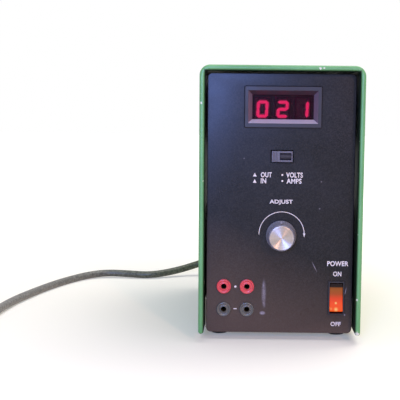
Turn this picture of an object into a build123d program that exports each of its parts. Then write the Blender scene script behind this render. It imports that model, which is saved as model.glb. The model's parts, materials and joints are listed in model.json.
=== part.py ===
# Bench power supply for gel electrophoresis, with a panel meter, an output knob, a lit mains rocker,
# four banana jacks and a mains cord. Millimetres. +Z is up, the front panel faces -Y, and the origin
# is on the table, at the middle of the unit's own box.
from build123d import *
import math
import os

# Cover: an upside-down U shell, open at the front, at the back and underneath
cover_width = 132.0
cover_top = 225.0
cover_depth = 230.0
cover_wall = 4.4
cover_corner = 8.5
cover_edge_round = 2.0
leg_gap = 7.5
panel_recess = 13.0
rear_recess = 14.0
cover_screw_radius = 2.0
cover_screw_inset = 45.0
cover_screw_head = (3.8, 2.2)
screw_past = 2.5

# Front panel and chassis
panel_side_gap = 1.6
panel_bottom = 6.5
panel_top_gap = 1.5
panel_thick = 3.0
panel_corner = 3.7
sheet = 1.5
bend = 1.0
panel_edge_round = 0.5
foot_height = 8.0
foot_radius = 8.5
foot_inset = 16.0
foot_setback = 27.5
wall_inset = 1.5
lip_depth = 12.0
flange_height = 26.0
side_clearance = 0.3
lip_inset = 6.0
flange_setback = 6.0
fit_gap = 0.2
screw_gap = 0.15
foot_screw_radius = 1.7
foot_recess = (3.6, 4.4)
foot_taper = 1.2
foot_screw_head = (3.2, 2.0)
stud_radius = 2.0
stud_length = 8.0
stud_inset = 8.0
stud_low_rise = 25.0
stud_high_drop = 12.0
stud_nut = (7.0, 3.0)
floor_vent_count = 7

# Knob and potentiometer
column_x = 0.8
knob_z = 87.6
knob_base_radius = 12.3
knob_front_radius = 10.6
knob_proud = 16.4
knob_gap = 0.8
knob_hollow_radius = 9.0
knob_hollow_depth = 5.0
cap_radius = 9.8
cap_thick = 1.0
grub_radius = 1.5
cap_proud = 0.3
knob_step = 2.0
knob_nose = 1.0
shaft_short = 3.0
grub_setback = 3.0
flute_count = 36
flute_radius = 0.55
shaft_radius = 3.0
shaft_gap = 0.05
bushing_radius = 4.75
bushing_proud = 3.6
pot_radius = 12.0
pot_depth = 11.0
shaft_depth = 6.0
pot_washer_size = (7.6, 0.8)
pot_nut_size = (14.0, 2.0)
lug_pitch = 5.0

# Meter
display_x = 1.1
display_z = 192.2
bezel_width = 63.0
bezel_height = 34.0
bezel_proud = 2.0
bezel_mouth = (56.5, 26.4)
bezel_throat = (49.8, 19.8)
bezel_slope_depth = 6.0
bezel_rim = 4.6
window_lap = 1.5
window_thick = 2.0
digit_pitch = 16.45
digit_width = 12.6
digit_height = 19.0
digit_depth = 8.0
digit_drop = 1.4
meter_board = (84.0, 40.0)
board_thick = 1.6
meter_screw_radius = 1.45
small_screw_head = (2.8, 1.8)
small_screw_bite = 5.0
board_hole_inset = 4.5
bezel_edge = 0.7
window_ledge = 1.5

# Meter selector
selector_z = 152.3
button_width = 17.0
button_height = 8.9
button_proud = 2.6
button_travel = 2.5
flag_turn = 130.0
flag_arc = 120.0
flag_skin = 0.8
flag_end_wall = 1.3
housing_ear = (4.0, 1.2)
tab_pitch = 5.0
tab_length = 5.0
button_length = 16.0
button_gap = 0.35
selector_cut = (18.8, 10.8)
selector_wall = 2.0
grip_width = 5.6
ridge_radius = 0.6
ridge_shares = (0.3, 0.72)
flag_radius = 3.4
flag_gap = 0.3
flag_window = (9.4, 5.8)
flag_setback = 4.4
pin_radius = 0.8
pin_gap = 0.05

# Mains rocker
rocker_inset = 13.0
rocker_z = 36.3
rocker_bezel = (13.6, 28.0)
rocker_bezel_proud = 1.8
rocker_body = (12.8, 26.8)
rocker_body_depth = 20.0
rocker_width = 10.2
rocker_half_height = 11.4
rocker_dish = 3.2
rocker_angle = 11.0
rocker_pivot_depth = 2.2
rocker_gap = 0.35
rocker_pin_radius = 1.2
lamp_radius = 1.6
lamp_place = (2.0, -5.2)
rocker_back = 6.4
rocker_floor = 4.0
rocker_rib = (3.0, 6.0, 1.0)
rocker_tab_pitch = 7.5
rocker_tab_length = 8.0

# Banana jacks: the standard 3/4 inch pitch and 4 mm plugs
jack_pitch = 19.05
jack_inset = 14.35
jack_top_z = 45.0
jack_flange_radius = 5.95
jack_proud = 2.2
jack_neck_radius = 3.95
jack_length = 24.0
socket_bore = 2.05
socket_wall = 0.75
socket_length = 22.0
socket_setback = 2.6
socket_end = 2.0
socket_tail = (1.2, 6.0)
jack_bevel = (1.1, 0.9)
nut_thick = 2.4
nut_across_flats = 11.0

# Inside
core_size = (76.0, 58.0, 64.0)
core_window = (15.0, 38.0)
transformer_screw_radius = 2.2
transformer_screw_head = (4.0, 2.4)
frame_foot = 9.6
frame_screw_inset = 8.0
stack_share = 0.6
main_board_size = (86.0, 70.0)
main_board_setback = 16.8
board_gap = 1.0
main_board_inset = 5.0
standoff_height = 8.0
standoff_radius = 3.0
board_screw_radius = 1.45
capacitor_places = [(-22.0, 14.0), (6.0, 14.0)]
capacitor_radius = 12.0
capacitor_height = 45.0
relay_place = (-22.0, -10.0)
terminal_place = (17.0, 11.0)
terminal_size = (30.0, 10.0, 12.0)
terminal_ways = 5
relay_size = (28.0, 12.0, 16.0)
sink_place = (26.0, 9.0)
sink_height = 30.0
sink_length = 30.0
fin_count = 5
fin_length = 8.0
fin_thick = 1.5
rectifier_side_gap = 5.8
rectifier_size = (28.0, 12.0, 9.0)
rectifier_tag_pitch = 6.0
rectifier_tag_rise = 7.0
sink_back = 2.0
triac_size = (4.4, 10.0, 10.0)
triac_rise = 8.0
triac_tab = 6.0

# Rear
gland_x = -32.0
gland_z = 34.0
gland_length = 26.0
gland_neck_radius = 6.2
gland_flange = (8.2, 2.4)
gland_barb = (7.4, 6.0)
gland_rings = 4
fuse_inset = 10.0
fuse_z = 34.0
fuse_cap_radius = 6.4
fuse_cap_proud = 9.5
fuse_neck_radius = 6.2
fuse_bore = 4.4
fuse_radius = 2.6
fuse_length = 20.0
fuse_holder_depth = 34.0
fuse_nut = (15.5, 3.5)
fuse_rim = (1.2, 2.0)
fuse_stem = 8.0
fuse_tag = (2.2, 7.0)
vent_slot = (40.0, 3.0)
vent_pitch = 7.0
vent_spread = 0.62
rear_vent_count = 9
rear_vent_low_z = 96.0

# Mains cord
cord_diameter = 7.8
coil_start_x = -256.0
coil_y = -60.0
coil_turns = 2.5
coil_outer_radius = 50.0
coil_pitch = 8.4
climb_turn = 0.5
coil_end_reach = 20.0
tie_thick = 1.0
tie_width = 10.0
tie_gap = 0.25
plug_length = 38.0
plug_width = 26.0
plug_height = 24.0
blade_length = 16.0

# Places worked out from the sizes above
overall_depth = cover_depth + knob_proud - panel_recess
knob_front_y = -overall_depth / 2
panel_y = knob_front_y + knob_proud
cover_front_y = panel_y - panel_recess
cover_back_y = cover_front_y + cover_depth
panel_back_y = panel_y + panel_thick
wall_back_y = panel_back_y + sheet
rear_y = cover_back_y - rear_recess
cover_inner_half = cover_width / 2 - cover_wall
cover_inner_top = cover_top - cover_wall
floor_z = foot_height + sheet
flange_half = cover_inner_half - side_clearance
panel_width = 2 * (cover_inner_half - panel_side_gap)
panel_height = cover_inner_top - panel_top_gap - panel_bottom
wall_half = panel_width / 2 - wall_inset
wall_top_z = panel_bottom + panel_height - wall_inset
fuse_x = wall_half - fuse_inset
panel_z = panel_bottom + panel_height / 2
rocker_x = panel_width / 2 - rocker_inset
jack_left_x = jack_inset - panel_width / 2
cover_screw_z = foot_height + flange_height * 0.55
bezel_body_width = bezel_width - bezel_rim
bezel_body_height = bezel_height - bezel_rim
foot_x = cover_width / 2 - foot_inset
foot_places = [(sx * foot_x, y) for y in (panel_y + foot_setback, rear_y - foot_setback) for sx in (-1, 1)]
jack_places = [(jack_left_x + i * jack_pitch, jack_top_z - j * jack_pitch) for j in (0, 1) for i in (0, 1)]
stud_rows = (jack_top_z + stud_low_rise, wall_top_z - stud_high_drop)
stud_places = [(sx * (wall_half - stud_inset), z) for sx in (-1, 1) for z in stud_rows]
board_front_y = wall_back_y + main_board_setback
board_back_y = board_front_y + main_board_size[1]
main_board_y = (board_front_y + board_back_y) / 2
rectifier_y = board_back_y + board_gap + rectifier_size[1] / 2
transformer_y = rectifier_y + rectifier_size[1] / 2 + board_gap + core_size[1] / 2
stack_half = core_size[1] * stack_share / 2
rectifier_x = flange_half - sheet - rectifier_side_gap - rectifier_size[0] / 2
digit_places = [display_x - 0.3 + (i - 1) * digit_pitch for i in range(3)]
os.makedirs("parts", exist_ok=True)


def block(x0, x1, y0, y1, z0, z1):
    """A box between two corners."""
    return Pos((x0 + x1) / 2, (y0 + y1) / 2, (z0 + z1) / 2) * Box(x1 - x0, y1 - y0, z1 - z0)


def rod(x, z, y0, y1, radius):
    """A round bar along Y."""
    return Pos(x, (y0 + y1) / 2, z) * Rot(90, 0, 0) * Cylinder(radius, y1 - y0)


def post(x, y, z0, z1, radius):
    """A round bar along Z."""
    return Pos(x, y, (z0 + z1) / 2) * Cylinder(radius, z1 - z0)


def axle(y, z, x0, x1, radius):
    """A round bar along X."""
    return Pos((x0 + x1) / 2, y, z) * Rot(0, 90, 0) * Cylinder(radius, x1 - x0)


def facing(x, y, z):
    """A plane that faces the front, with its own X along +X and its own Y upwards."""
    return Plane(origin=(x, y, z), x_dir=(1, 0, 0), z_dir=(0, -1, 0))


def plate(x, z, width, height, corner, y_front, y_back):
    """A plate across Y with round corners."""
    outline = facing(x, y_back, z) * RectangleRounded(width, height, corner)
    return extrude(outline, amount=y_back - y_front)


def hexagon(x, z, across_flats, y_front, y_back):
    outline = facing(x, y_back, z) * RegularPolygon(across_flats / 2, 6, major_radius=False)
    return extrude(outline, amount=y_back - y_front)


def turned(profile, x, z):
    """A turned piece about an axis along Y; the profile is a list of (radius, y)."""
    face = make_face(Polyline(*[(r, y) for r, y in profile], close=True))
    return Pos(x, 0, z) * revolve(face, Axis.Y, 360)


def pan_screw(direction, head_size, shank_radius, shank_length):
    """A pan-head screw: its head sits on the origin plane and its shank runs along -Z before it is turned."""
    radius, thick = head_size
    head = Pos(0, 0, thick / 2) * Cylinder(radius, thick)
    head = fillet(head.edges().sort_by(Axis.Z)[-1], thick * 0.45)
    slot = Pos(0, 0, thick) * Box(radius * 2.2, radius * 0.3, thick * 0.9)
    shank = Pos(0, 0, -shank_length / 2) * Cylinder(shank_radius, shank_length)
    return direction * ((head - slot) + shank)


def make_cover():
    outer = block(-cover_width / 2, cover_width / 2, cover_front_y, cover_back_y, leg_gap, cover_top)
    outer = fillet(outer.edges().filter_by(Axis.Y).group_by(Axis.Z)[-1], cover_corner)
    inner = block(-cover_inner_half, cover_inner_half, cover_front_y - 1, cover_back_y + 1, leg_gap - 1,
                  cover_inner_top)
    inner = fillet(inner.edges().filter_by(Axis.Y).group_by(Axis.Z)[-1], cover_corner - cover_wall)
    shell = outer - inner
    rims = shell.edges().filter_by(lambda e: abs(e.bounding_box().size.Y) < 0.001)
    tips = shell.edges().filter_by(Axis.Y).group_by(Axis.Z)[0]
    shell = fillet(list(rims) + list(tips), cover_edge_round)
    return shell - cover_screw_holes()


def cover_screw_places():
    spots = []
    for x in (-cover_width / 2, cover_width / 2):
        for y in (cover_front_y + cover_screw_inset, cover_back_y - cover_screw_inset):
            spots.append((x, y, cover_screw_z))
    return spots


def cover_screw_holes():
    holes = None
    for x, y, z in cover_screw_places():
        x0, x1 = sorted((x, 0.8 * x))
        hole = axle(y, z, x0, x1, cover_screw_radius + screw_gap)
        holes = hole if holes is None else holes + hole
    return holes


def make_cover_screws():
    screws = []
    length = cover_wall + side_clearance + sheet + screw_past
    for x, y, z in cover_screw_places():
        turn = Pos(x, y, z) * Rot(0, math.copysign(90, x), 0)
        screws.append(pan_screw(turn, cover_screw_head, cover_screw_radius, length))
    return Compound(screws)


def make_chassis():
    """A folded tray: front wall, floor and rear wall from one strip, with side flanges and stiff lips."""
    corners = ((panel_back_y, wall_top_z), (panel_back_y, foot_height), (rear_y, foot_height),
               (rear_y, wall_top_z))
    strip = extrude(make_face(Plane.YZ * Polyline(*corners, close=True)), amount=wall_half, both=True)
    strip -= block(-wall_half - 1, wall_half + 1, wall_back_y, rear_y - sheet, floor_z, wall_top_z + 1)
    strip = fillet(strip.edges().filter_by(Axis.X).group_by(Axis.Z)[0], sheet + bend)
    inner_folds = strip.edges().filter_by(Axis.X).filter_by_position(Axis.Z, floor_z - 0.01, floor_z + 0.01)
    strip = fillet(inner_folds, bend)
    for y0, y1 in ((wall_back_y, wall_back_y + lip_depth), (rear_y - sheet - lip_depth, rear_y - sheet)):
        strip += block(-wall_half + lip_inset, wall_half - lip_inset, y0, y1, wall_top_z - sheet, wall_top_z)
    y0, y1 = panel_back_y + flange_setback, rear_y - flange_setback
    for side in (-1, 1):
        x0, x1 = sorted((side * (flange_half - sheet), side * flange_half))
        strip += block(x0, x1, y0, y1, foot_height, foot_height + flange_height)
        x0, x1 = sorted((side * (wall_half - 1), side * flange_half))
        strip += block(x0, x1, y0, y1, foot_height, floor_z)
    for x, z in stud_places:
        strip -= rod(x, z, panel_back_y - 1, wall_back_y + 1, stud_radius + screw_gap)
    strip -= front_cutters(panel_back_y - 1, wall_back_y + 0.5)
    return strip - cover_screw_holes() - rear_cutters() - floor_cutters()


def front_cutters(y0, y1):
    """What passes through the panel and the chassis's front wall."""
    both = 2 * fit_gap
    cut = plate(display_x, display_z, bezel_body_width + both, bezel_body_height + both, 1.0, y0, y1)
    cut += plate(column_x, selector_z, selector_cut[0], selector_cut[1], 0.8, y0, y1)
    cut += rod(column_x, knob_z, y0, y1, bushing_radius + fit_gap)
    cut += plate(rocker_x, rocker_z, rocker_body[0] + both, rocker_body[1] + both, 0.6, y0, y1)
    for x, z in jack_places:
        cut += rod(x, z, y0, y1, jack_neck_radius + fit_gap)
    return cut


def rear_cutters():
    y0, y1 = rear_y - sheet - 1, rear_y + 1
    cut = rod(gland_x, gland_z, y0, y1, gland_neck_radius + fit_gap)
    cut += rod(fuse_x, fuse_z, y0, y1, fuse_neck_radius + fit_gap)
    for i in range(rear_vent_count):
        for side in (-1, 1):
            z = rear_vent_low_z + i * vent_pitch
            outline = facing(side * vent_slot[0] * vent_spread, y1, z) * SlotOverall(*vent_slot)
            cut += extrude(outline, amount=y1 - y0)
    return cut


def floor_cutters():
    z0, z1 = foot_height - 1, floor_z + 1
    cut = None
    for i in range(floor_vent_count):
        y = main_board_y + (i - (floor_vent_count - 1) / 2) * vent_pitch
        slot = extrude(Plane.XY.offset(z0) * Pos(0, y) * SlotOverall(*vent_slot), amount=z1 - z0)
        cut = slot if cut is None else cut + slot
    for x, y in foot_places:
        cut += post(x, y, z0, z1, foot_screw_radius + screw_gap)
    for x, y in transformer_screw_places():
        cut += post(x, y, z0, z1, transformer_screw_radius + screw_gap)
    return cut


def transformer_screw_places():
    half_x = core_size[0] / 2 + fit_gap + frame_foot - transformer_screw_head[0]
    half_y = core_size[1] / 2 - frame_screw_inset
    return [(sx * half_x, transformer_y + sy * half_y) for sx in (-1, 1) for sy in (-1, 1)]


def make_front_panel():
    panel = plate(0, panel_z, panel_width, panel_height, panel_corner, panel_y, panel_back_y)
    front = panel.edges().filter_by_position(Axis.Y, panel_y - 0.01, panel_y + 0.01)
    return fillet(front, panel_edge_round) - front_cutters(panel_y - 1, panel_back_y + 1)


def make_panel_studs():
    """Press-in studs on the panel's back, which the chassis wall slips over."""
    studs = []
    for x, z in stud_places:
        studs.append(rod(x, z, panel_back_y, panel_back_y + stud_length, stud_radius))
    return Compound(studs)


def make_panel_nuts():
    nuts = []
    for x, z in stud_places:
        nut = hexagon(x, z, stud_nut[0], wall_back_y, wall_back_y + stud_nut[1])
        nuts.append(nut - rod(x, z, wall_back_y - 1, wall_back_y + stud_nut[1] + 1, stud_radius + screw_gap))
    return Compound(nuts)


def make_feet():
    feet = []
    for x, y in foot_places:
        body = Pos(x, y, foot_height / 2) * Cone(foot_radius - foot_taper, foot_radius, foot_height)
        body = fillet(body.edges().sort_by(Axis.Z)[0], 1.0)
        body -= post(x, y, -1, foot_recess[1], foot_recess[0])
        body -= post(x, y, 0, foot_height + 1, foot_screw_radius + screw_gap)
        feet.append(body)
    return Compound(feet)


def make_foot_screws():
    screws = []
    length = foot_height - foot_recess[1] + sheet + screw_past
    for x, y in foot_places:
        turn = Pos(x, y, foot_recess[1]) * Rot(180, 0, 0)
        screws.append(pan_screw(turn, foot_screw_head, foot_screw_radius, length))
    return Compound(screws)


def make_display_bezel():
    """A frame proud of the panel whose walls slope in to the window's seat."""
    front_y = panel_y - bezel_proud
    seat_y = front_y + bezel_slope_depth
    back_y = seat_y + window_thick + window_ledge
    rim = plate(display_x, display_z, bezel_width, bezel_height, 1.5, front_y, panel_y)
    rim = chamfer(rim.edges().filter_by_position(Axis.Y, front_y - 0.01, front_y + 0.01), bezel_edge)
    body = plate(display_x, display_z, bezel_body_width, bezel_body_height, 1.0, panel_y, back_y)
    mouth = facing(display_x, front_y - 0.01, display_z) * Rectangle(*bezel_mouth)
    throat = facing(display_x, seat_y, display_z) * Rectangle(*bezel_throat)
    seat_size = [side + 2 * window_lap for side in bezel_throat]
    seat = plate(display_x, display_z, *seat_size, 0.4, seat_y, back_y + 1)
    return rim + body - loft([mouth, throat]) - seat


def make_display_window():
    seat_y = panel_y - bezel_proud + bezel_slope_depth
    size = [side + 2 * (window_lap - fit_gap) for side in bezel_throat]
    return plate(display_x, display_z, *size, 0.3, seat_y, seat_y + window_thick)


def digit_front_y():
    return panel_y - bezel_proud + bezel_slope_depth + window_thick + fit_gap


def make_digit(x):
    """One LED module."""
    y0 = digit_front_y()
    low_z = display_z - digit_drop - digit_height / 2
    body = block(x - digit_width / 2, x + digit_width / 2, y0, y0 + digit_depth, low_z, low_z + digit_height)
    return chamfer(body.edges().filter_by_position(Axis.Y, y0 - 0.01, y0 + 0.01), 0.4)


def meter_board_y():
    return digit_front_y() + digit_depth


def meter_hole_places():
    half_x = meter_board[0] / 2 - board_hole_inset
    half_z = meter_board[1] / 2 - board_hole_inset
    return [(display_x + sx * half_x, display_z + sz * half_z) for sx in (-1, 1) for sz in (-1, 1)]


def make_display_board():
    y0 = meter_board_y()
    board = plate(display_x, display_z, meter_board[0], meter_board[1], 1.5, y0, y0 + board_thick)
    for x, z in meter_hole_places():
        board -= rod(x, z, y0 - 1, y0 + board_thick + 1, meter_screw_radius + screw_gap)
    return board


def make_display_standoffs():
    posts = []
    back = meter_board_y()
    for x, z in meter_hole_places():
        outside = rod(x, z, wall_back_y, back, standoff_radius)
        posts.append(outside - rod(x, z, wall_back_y + sheet, back + 1, meter_screw_radius + screw_gap))
    return Compound(posts)


def make_display_screws():
    screws = []
    back = meter_board_y() + board_thick
    for x, z in meter_hole_places():
        turn = Pos(x, back, z) * Rot(-90, 0, 0)
        screws.append(pan_screw(turn, small_screw_head, meter_screw_radius, board_thick + small_screw_bite))
    return Compound(screws)


def make_selector_housing():
    """The switch's body behind the panel, with its ears, its cavity and its three tags."""
    well_x = button_width / 2 + button_gap
    well_z = button_height / 2 + button_gap
    half_x, half_z = well_x + selector_wall, well_z + selector_wall
    y0 = wall_back_y
    y1 = panel_y - button_proud + button_length + button_travel + selector_wall + 1.0
    low, high = selector_z - half_z, selector_z + half_z
    body = block(column_x - half_x, column_x + half_x, y0, y1, low, high)
    reach = half_x + housing_ear[0]
    body += block(column_x - reach, column_x + reach, y0, y0 + housing_ear[1], low, high)
    for i in (-1, 0, 1):
        x = column_x + i * tab_pitch
        body += block(x - 1.2, x + 1.2, y1, y1 + tab_length, selector_z - 0.4, selector_z + 0.4)
    return body - block(column_x - well_x, column_x + well_x, y0 - 1, y1 - selector_wall, selector_z - well_z,
                        selector_z + well_z)


def flag_centre():
    """Where the indicator's axis lies in the button: x range and y."""
    x0 = column_x - button_width / 2 + grip_width + flag_end_wall
    x1 = column_x + button_width / 2 - flag_end_wall
    return x0, x1, panel_y - button_proud + flag_setback


def make_selector_button():
    """A block with two grip ridges on its left and, on its right, a window on the indicator drum."""
    front_y = panel_y - button_proud
    back_y = front_y + button_length
    x_left = column_x - button_width / 2
    x_right = column_x + button_width / 2
    z0 = selector_z - button_height / 2
    z1 = selector_z + button_height / 2
    body = block(x_left, x_right, front_y, back_y, z0, z1)
    body = fillet(body.edges().filter_by_position(Axis.Y, front_y - 0.01, front_y + 0.01), 0.5)
    for share in ridge_shares:
        x = x_left + grip_width * share
        body += Pos(x, front_y + 0.15, selector_z) * Cylinder(ridge_radius, button_height - 1.6)
    fx0, fx1, fy = flag_centre()
    body -= axle(fy, selector_z, fx0 - flag_gap, fx1 + flag_gap, flag_radius + flag_gap)
    mid = (fx0 + fx1) / 2
    wide, high = flag_window
    low, high = selector_z - high / 2, selector_z + high / 2
    body -= block(mid - wide / 2, mid + wide / 2, front_y - 1, fy, low, high)
    body -= axle(fy, selector_z, fx0 - 1.0, fx1 + 1.0, pin_radius + pin_gap)
    hollow_y = fy + flag_radius + selector_wall
    return body - block(x_left + 2.0, x_right - 2.0, hollow_y, back_y + 1, z0 + 1.8, z1 - 1.8)


def green_wedge():
    """The part of the drum that carries the green face; it comes to the window when the drum has turned."""
    fx0, fx1, fy = flag_centre()
    reach = flag_radius * 3
    middle = 180 - flag_turn
    points = [(0, 0)]
    for i in (-1, 0, 1):
        angle = math.radians(middle + i * flag_arc / 2)
        points.append((reach * math.cos(angle), reach * math.sin(angle)))
    face = make_face(Plane.YZ * Polyline(*points, close=True))
    return Pos(fx0, fy, selector_z) * extrude(face, amount=fx1 - fx0)


def flag_skin_ring():
    fx0, fx1, fy = flag_centre()
    core = axle(fy, selector_z, fx0, fx1, flag_radius - flag_skin)
    return axle(fy, selector_z, fx0, fx1, flag_radius) - core


def make_flag_drum():
    fx0, fx1, fy = flag_centre()
    drum = axle(fy, selector_z, fx0, fx1, flag_radius)
    pins = axle(fy, selector_z, fx0 - 0.8, fx1 + 0.8, pin_radius)
    return drum - (flag_skin_ring() & green_wedge()) + pins


def make_flag_green():
    return flag_skin_ring() & green_wedge()


def knob_profile():
    """The knob's outside from its base to its front."""
    back_y = panel_y - knob_gap
    return [(knob_base_radius, back_y), (knob_base_radius, back_y - knob_step),
            (knob_front_radius, knob_front_y + knob_nose), (knob_front_radius - 0.6, knob_front_y)]


def make_knob():
    back_y = panel_y - knob_gap
    outside = turned([(0, back_y)] + knob_profile() + [(0, knob_front_y)], column_x, knob_z)
    hollow = rod(column_x, knob_z, back_y - knob_hollow_depth, back_y + 1, knob_hollow_radius)
    shaft_hole = rod(column_x, knob_z, shaft_front_y(), back_y, shaft_radius + shaft_gap)
    seat = rod(column_x, knob_z, knob_front_y - 1, knob_front_y + cap_thick - cap_proud, cap_radius + fit_gap)
    body = outside - hollow - shaft_hole - seat
    low, high = knob_profile()[1:3]
    reach = math.hypot(low[0] - high[0], low[1] - high[1])
    lean = math.degrees(math.atan2(low[0] - high[0], low[1] - high[1]))
    groove = Pos((low[0] + high[0]) / 2 + flute_radius * 0.45, (low[1] + high[1]) / 2, 0) \
        * Rot(0, 0, -lean) * Rot(90, 0, 0) * Cylinder(flute_radius, reach - 2.4)
    step = 360 / flute_count
    flutes = [Pos(column_x, 0, knob_z) * Rot(0, i * step, 0) * groove for i in range(flute_count)]
    body -= Compound(flutes)
    return body - post(column_x, grub_y(), knob_z, knob_z + knob_base_radius + 1, grub_radius + screw_gap)


def shaft_front_y():
    return knob_front_y + shaft_short


def grub_y():
    return panel_y - knob_gap - knob_hollow_depth - grub_setback


def make_knob_cap():
    y0 = knob_front_y - cap_proud
    disc = rod(column_x, knob_z, y0, y0 + cap_thick, cap_radius)
    disc = chamfer(disc.edges().sort_by(Axis.Y)[0], 0.25)
    dish = rod(column_x, knob_z, y0 - 1, y0 + 0.2, cap_radius - 1.0)
    return disc - dish


def make_knob_screw():
    top = knob_z + knob_front_radius - 0.9
    screw = post(column_x, grub_y(), knob_z + shaft_radius + 0.02, top, grub_radius)
    return screw - Pos(column_x, grub_y(), top) * Box(grub_radius * 3, 0.6, 1.6)


def make_pot_shaft():
    return rod(column_x, knob_z, shaft_front_y() + 0.3, wall_back_y + shaft_depth, shaft_radius)


def make_pot_body():
    """The potentiometer's can and threaded bushing, with its three solder lugs."""
    y0 = wall_back_y
    can = rod(column_x, knob_z, y0, y0 + pot_depth, pot_radius)
    can = fillet(can.edges().sort_by(Axis.Y)[-1], 1.0)
    body = can + rod(column_x, knob_z, panel_y - bushing_proud, y0, bushing_radius)
    low_z = knob_z - pot_radius
    for i in (-1, 0, 1):
        x = column_x + i * lug_pitch
        body += block(x - 1.2, x + 1.2, y0 + 3, y0 + 4, low_z - lug_pitch, low_z + 1.5)
    hole_end = wall_back_y + shaft_depth + 0.3
    return body - rod(column_x, knob_z, panel_y - bushing_proud - 1, hole_end, shaft_radius + shaft_gap)


def make_pot_washer():
    radius, thick = pot_washer_size
    ring = rod(column_x, knob_z, panel_y - thick, panel_y, radius)
    return ring - rod(column_x, knob_z, panel_y - thick - 1, panel_y + 1, bushing_radius + screw_gap)


def make_pot_nut():
    y1 = panel_y - pot_washer_size[1]
    nut = hexagon(column_x, knob_z, pot_nut_size[0], y1 - pot_nut_size[1], y1)
    return nut - rod(column_x, knob_z, y1 - pot_nut_size[1] - 1, y1 + 1, bushing_radius + screw_gap)


def make_rocker_housing():
    """A bezel, a hollow body and two snap ribs behind the wall."""
    front_y = panel_y - rocker_bezel_proud
    back_y = panel_y + rocker_body_depth
    rim = plate(rocker_x, rocker_z, *rocker_bezel, 1.2, front_y, panel_y)
    rim = fillet(rim.edges().filter_by_position(Axis.Y, front_y - 0.01, front_y + 0.01), 0.5)
    body = rim + plate(rocker_x, rocker_z, *rocker_body, 0.5, panel_y, back_y)
    half_rib, deep, proud = rocker_rib
    for side in (-1, 1):
        z = rocker_z + side * (rocker_body[1] / 2 + fit_gap)
        body += block(rocker_x - half_rib, rocker_x + half_rib, wall_back_y, wall_back_y + deep, z - proud,
                      z + proud)
    half_x = rocker_width / 2 + rocker_gap
    half_z = rocker_half_height + rocker_dish / 3 + rocker_gap
    well = block(rocker_x - half_x, rocker_x + half_x, front_y - 1, back_y - rocker_floor, rocker_z - half_z,
                 rocker_z + half_z)
    reach = rocker_body[0] / 2 + 1
    pivot_y = panel_y + rocker_pivot_depth
    pins = axle(pivot_y, rocker_z, rocker_x - reach, rocker_x + reach, rocker_pin_radius + pin_gap)
    return body - well - pins


def rocker_turn():
    """The rocker's resting tilt: its upper end is pressed in."""
    return Pos(rocker_x, panel_y + rocker_pivot_depth, rocker_z) * Rot(-rocker_angle, 0, 0)


def make_rocker_button():
    """A dished paddle on a rounded back, with two pivot pins."""
    rise = rocker_half_height * math.tan(math.radians(rocker_angle))
    end = rocker_half_height
    outline = Polyline((-rocker_dish, 0), (-rocker_dish - rise, end), (0.8, end + 0.3))
    back = ThreePointArc((0.8, end + 0.3), (rocker_back, 0), (0.8, -end - 0.3))
    lower = Polyline((0.8, -end - 0.3), (-rocker_dish - rise, -end), (-rocker_dish, 0))
    face = make_face(Plane.YZ * (outline + back + lower))
    paddle = extrude(face, amount=rocker_width / 2, both=True)
    paddle = fillet(paddle.edges().filter_by(Axis.X).sort_by(Axis.Y)[0:2], 0.8)
    paddle += axle(0, 0, -rocker_width / 2 - 0.75, rocker_width / 2 + 0.75, rocker_pin_radius)
    half = rocker_width / 3
    return rocker_turn() * (paddle - axle(*lamp_place, -half, half, lamp_radius + fit_gap))


def make_rocker_lamp():
    half = rocker_width / 3 - 0.4
    return rocker_turn() * axle(*lamp_place, -half, half, lamp_radius)


def make_rocker_tabs():
    tabs = []
    y0 = panel_y + rocker_body_depth
    y1 = y0 + rocker_tab_length
    for i in (-1, 0, 1):
        z = rocker_z + i * rocker_tab_pitch
        tabs.append(block(rocker_x - 2.4, rocker_x + 2.4, y0, y1, z - 0.4, z + 0.4))
    return Compound(tabs)


def make_jack(x, z):
    """A moulded insulator: a bevelled flange in front of the panel and a neck through it."""
    front_y = panel_y - jack_proud
    end_y = front_y + jack_length
    profile = [(0, front_y), (jack_flange_radius - jack_bevel[0], front_y),
               (jack_flange_radius, front_y + jack_bevel[1]), (jack_flange_radius, panel_y),
               (jack_neck_radius, panel_y), (jack_neck_radius, end_y), (0, end_y)]
    body = turned(profile, x, z)
    body -= rod(x, z, front_y - 1, front_y + socket_setback, socket_bore + 0.25)
    return body - rod(x, z, front_y + socket_setback, end_y + 1, socket_bore + socket_wall + 0.02)


def make_jack_sockets():
    """Turned brass sleeves with a closed back and a solder tail."""
    sockets = []
    y0 = panel_y - jack_proud + socket_setback
    closed_y = y0 + socket_length + socket_end
    for x, z in jack_places:
        sleeve = rod(x, z, y0, closed_y, socket_bore + socket_wall)
        sleeve += rod(x, z, closed_y, closed_y + socket_tail[1], socket_tail[0])
        sockets.append(sleeve - rod(x, z, y0 - 1, y0 + socket_length, socket_bore))
    return Compound(sockets)


def make_jack_nuts():
    nuts = []
    y1 = wall_back_y + nut_thick
    for x, z in jack_places:
        nut = hexagon(x, z, nut_across_flats, wall_back_y, y1)
        nuts.append(nut - rod(x, z, wall_back_y - 1, y1 + 1, jack_neck_radius + screw_gap))
    return Compound(nuts)


def transformer_base_z():
    return floor_z + sheet


def make_transformer_core():
    """The laminated stack: a rectangle with two windows, around the winding's middle limb."""
    width, _, height = core_size
    z0 = transformer_base_z()
    y0, y1 = transformer_y - stack_half, transformer_y + stack_half
    low, high = z0 + (height - core_window[1]) / 2, z0 + (height + core_window[1]) / 2
    core = block(-width / 2, width / 2, y0, y1, z0, z0 + height)
    for side in (-1, 1):
        x = side * (width / 4 + 0.5)
        core -= block(x - core_window[0] / 2, x + core_window[0] / 2, y0 - 1, y1 + 1, low, high)
    return core


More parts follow.
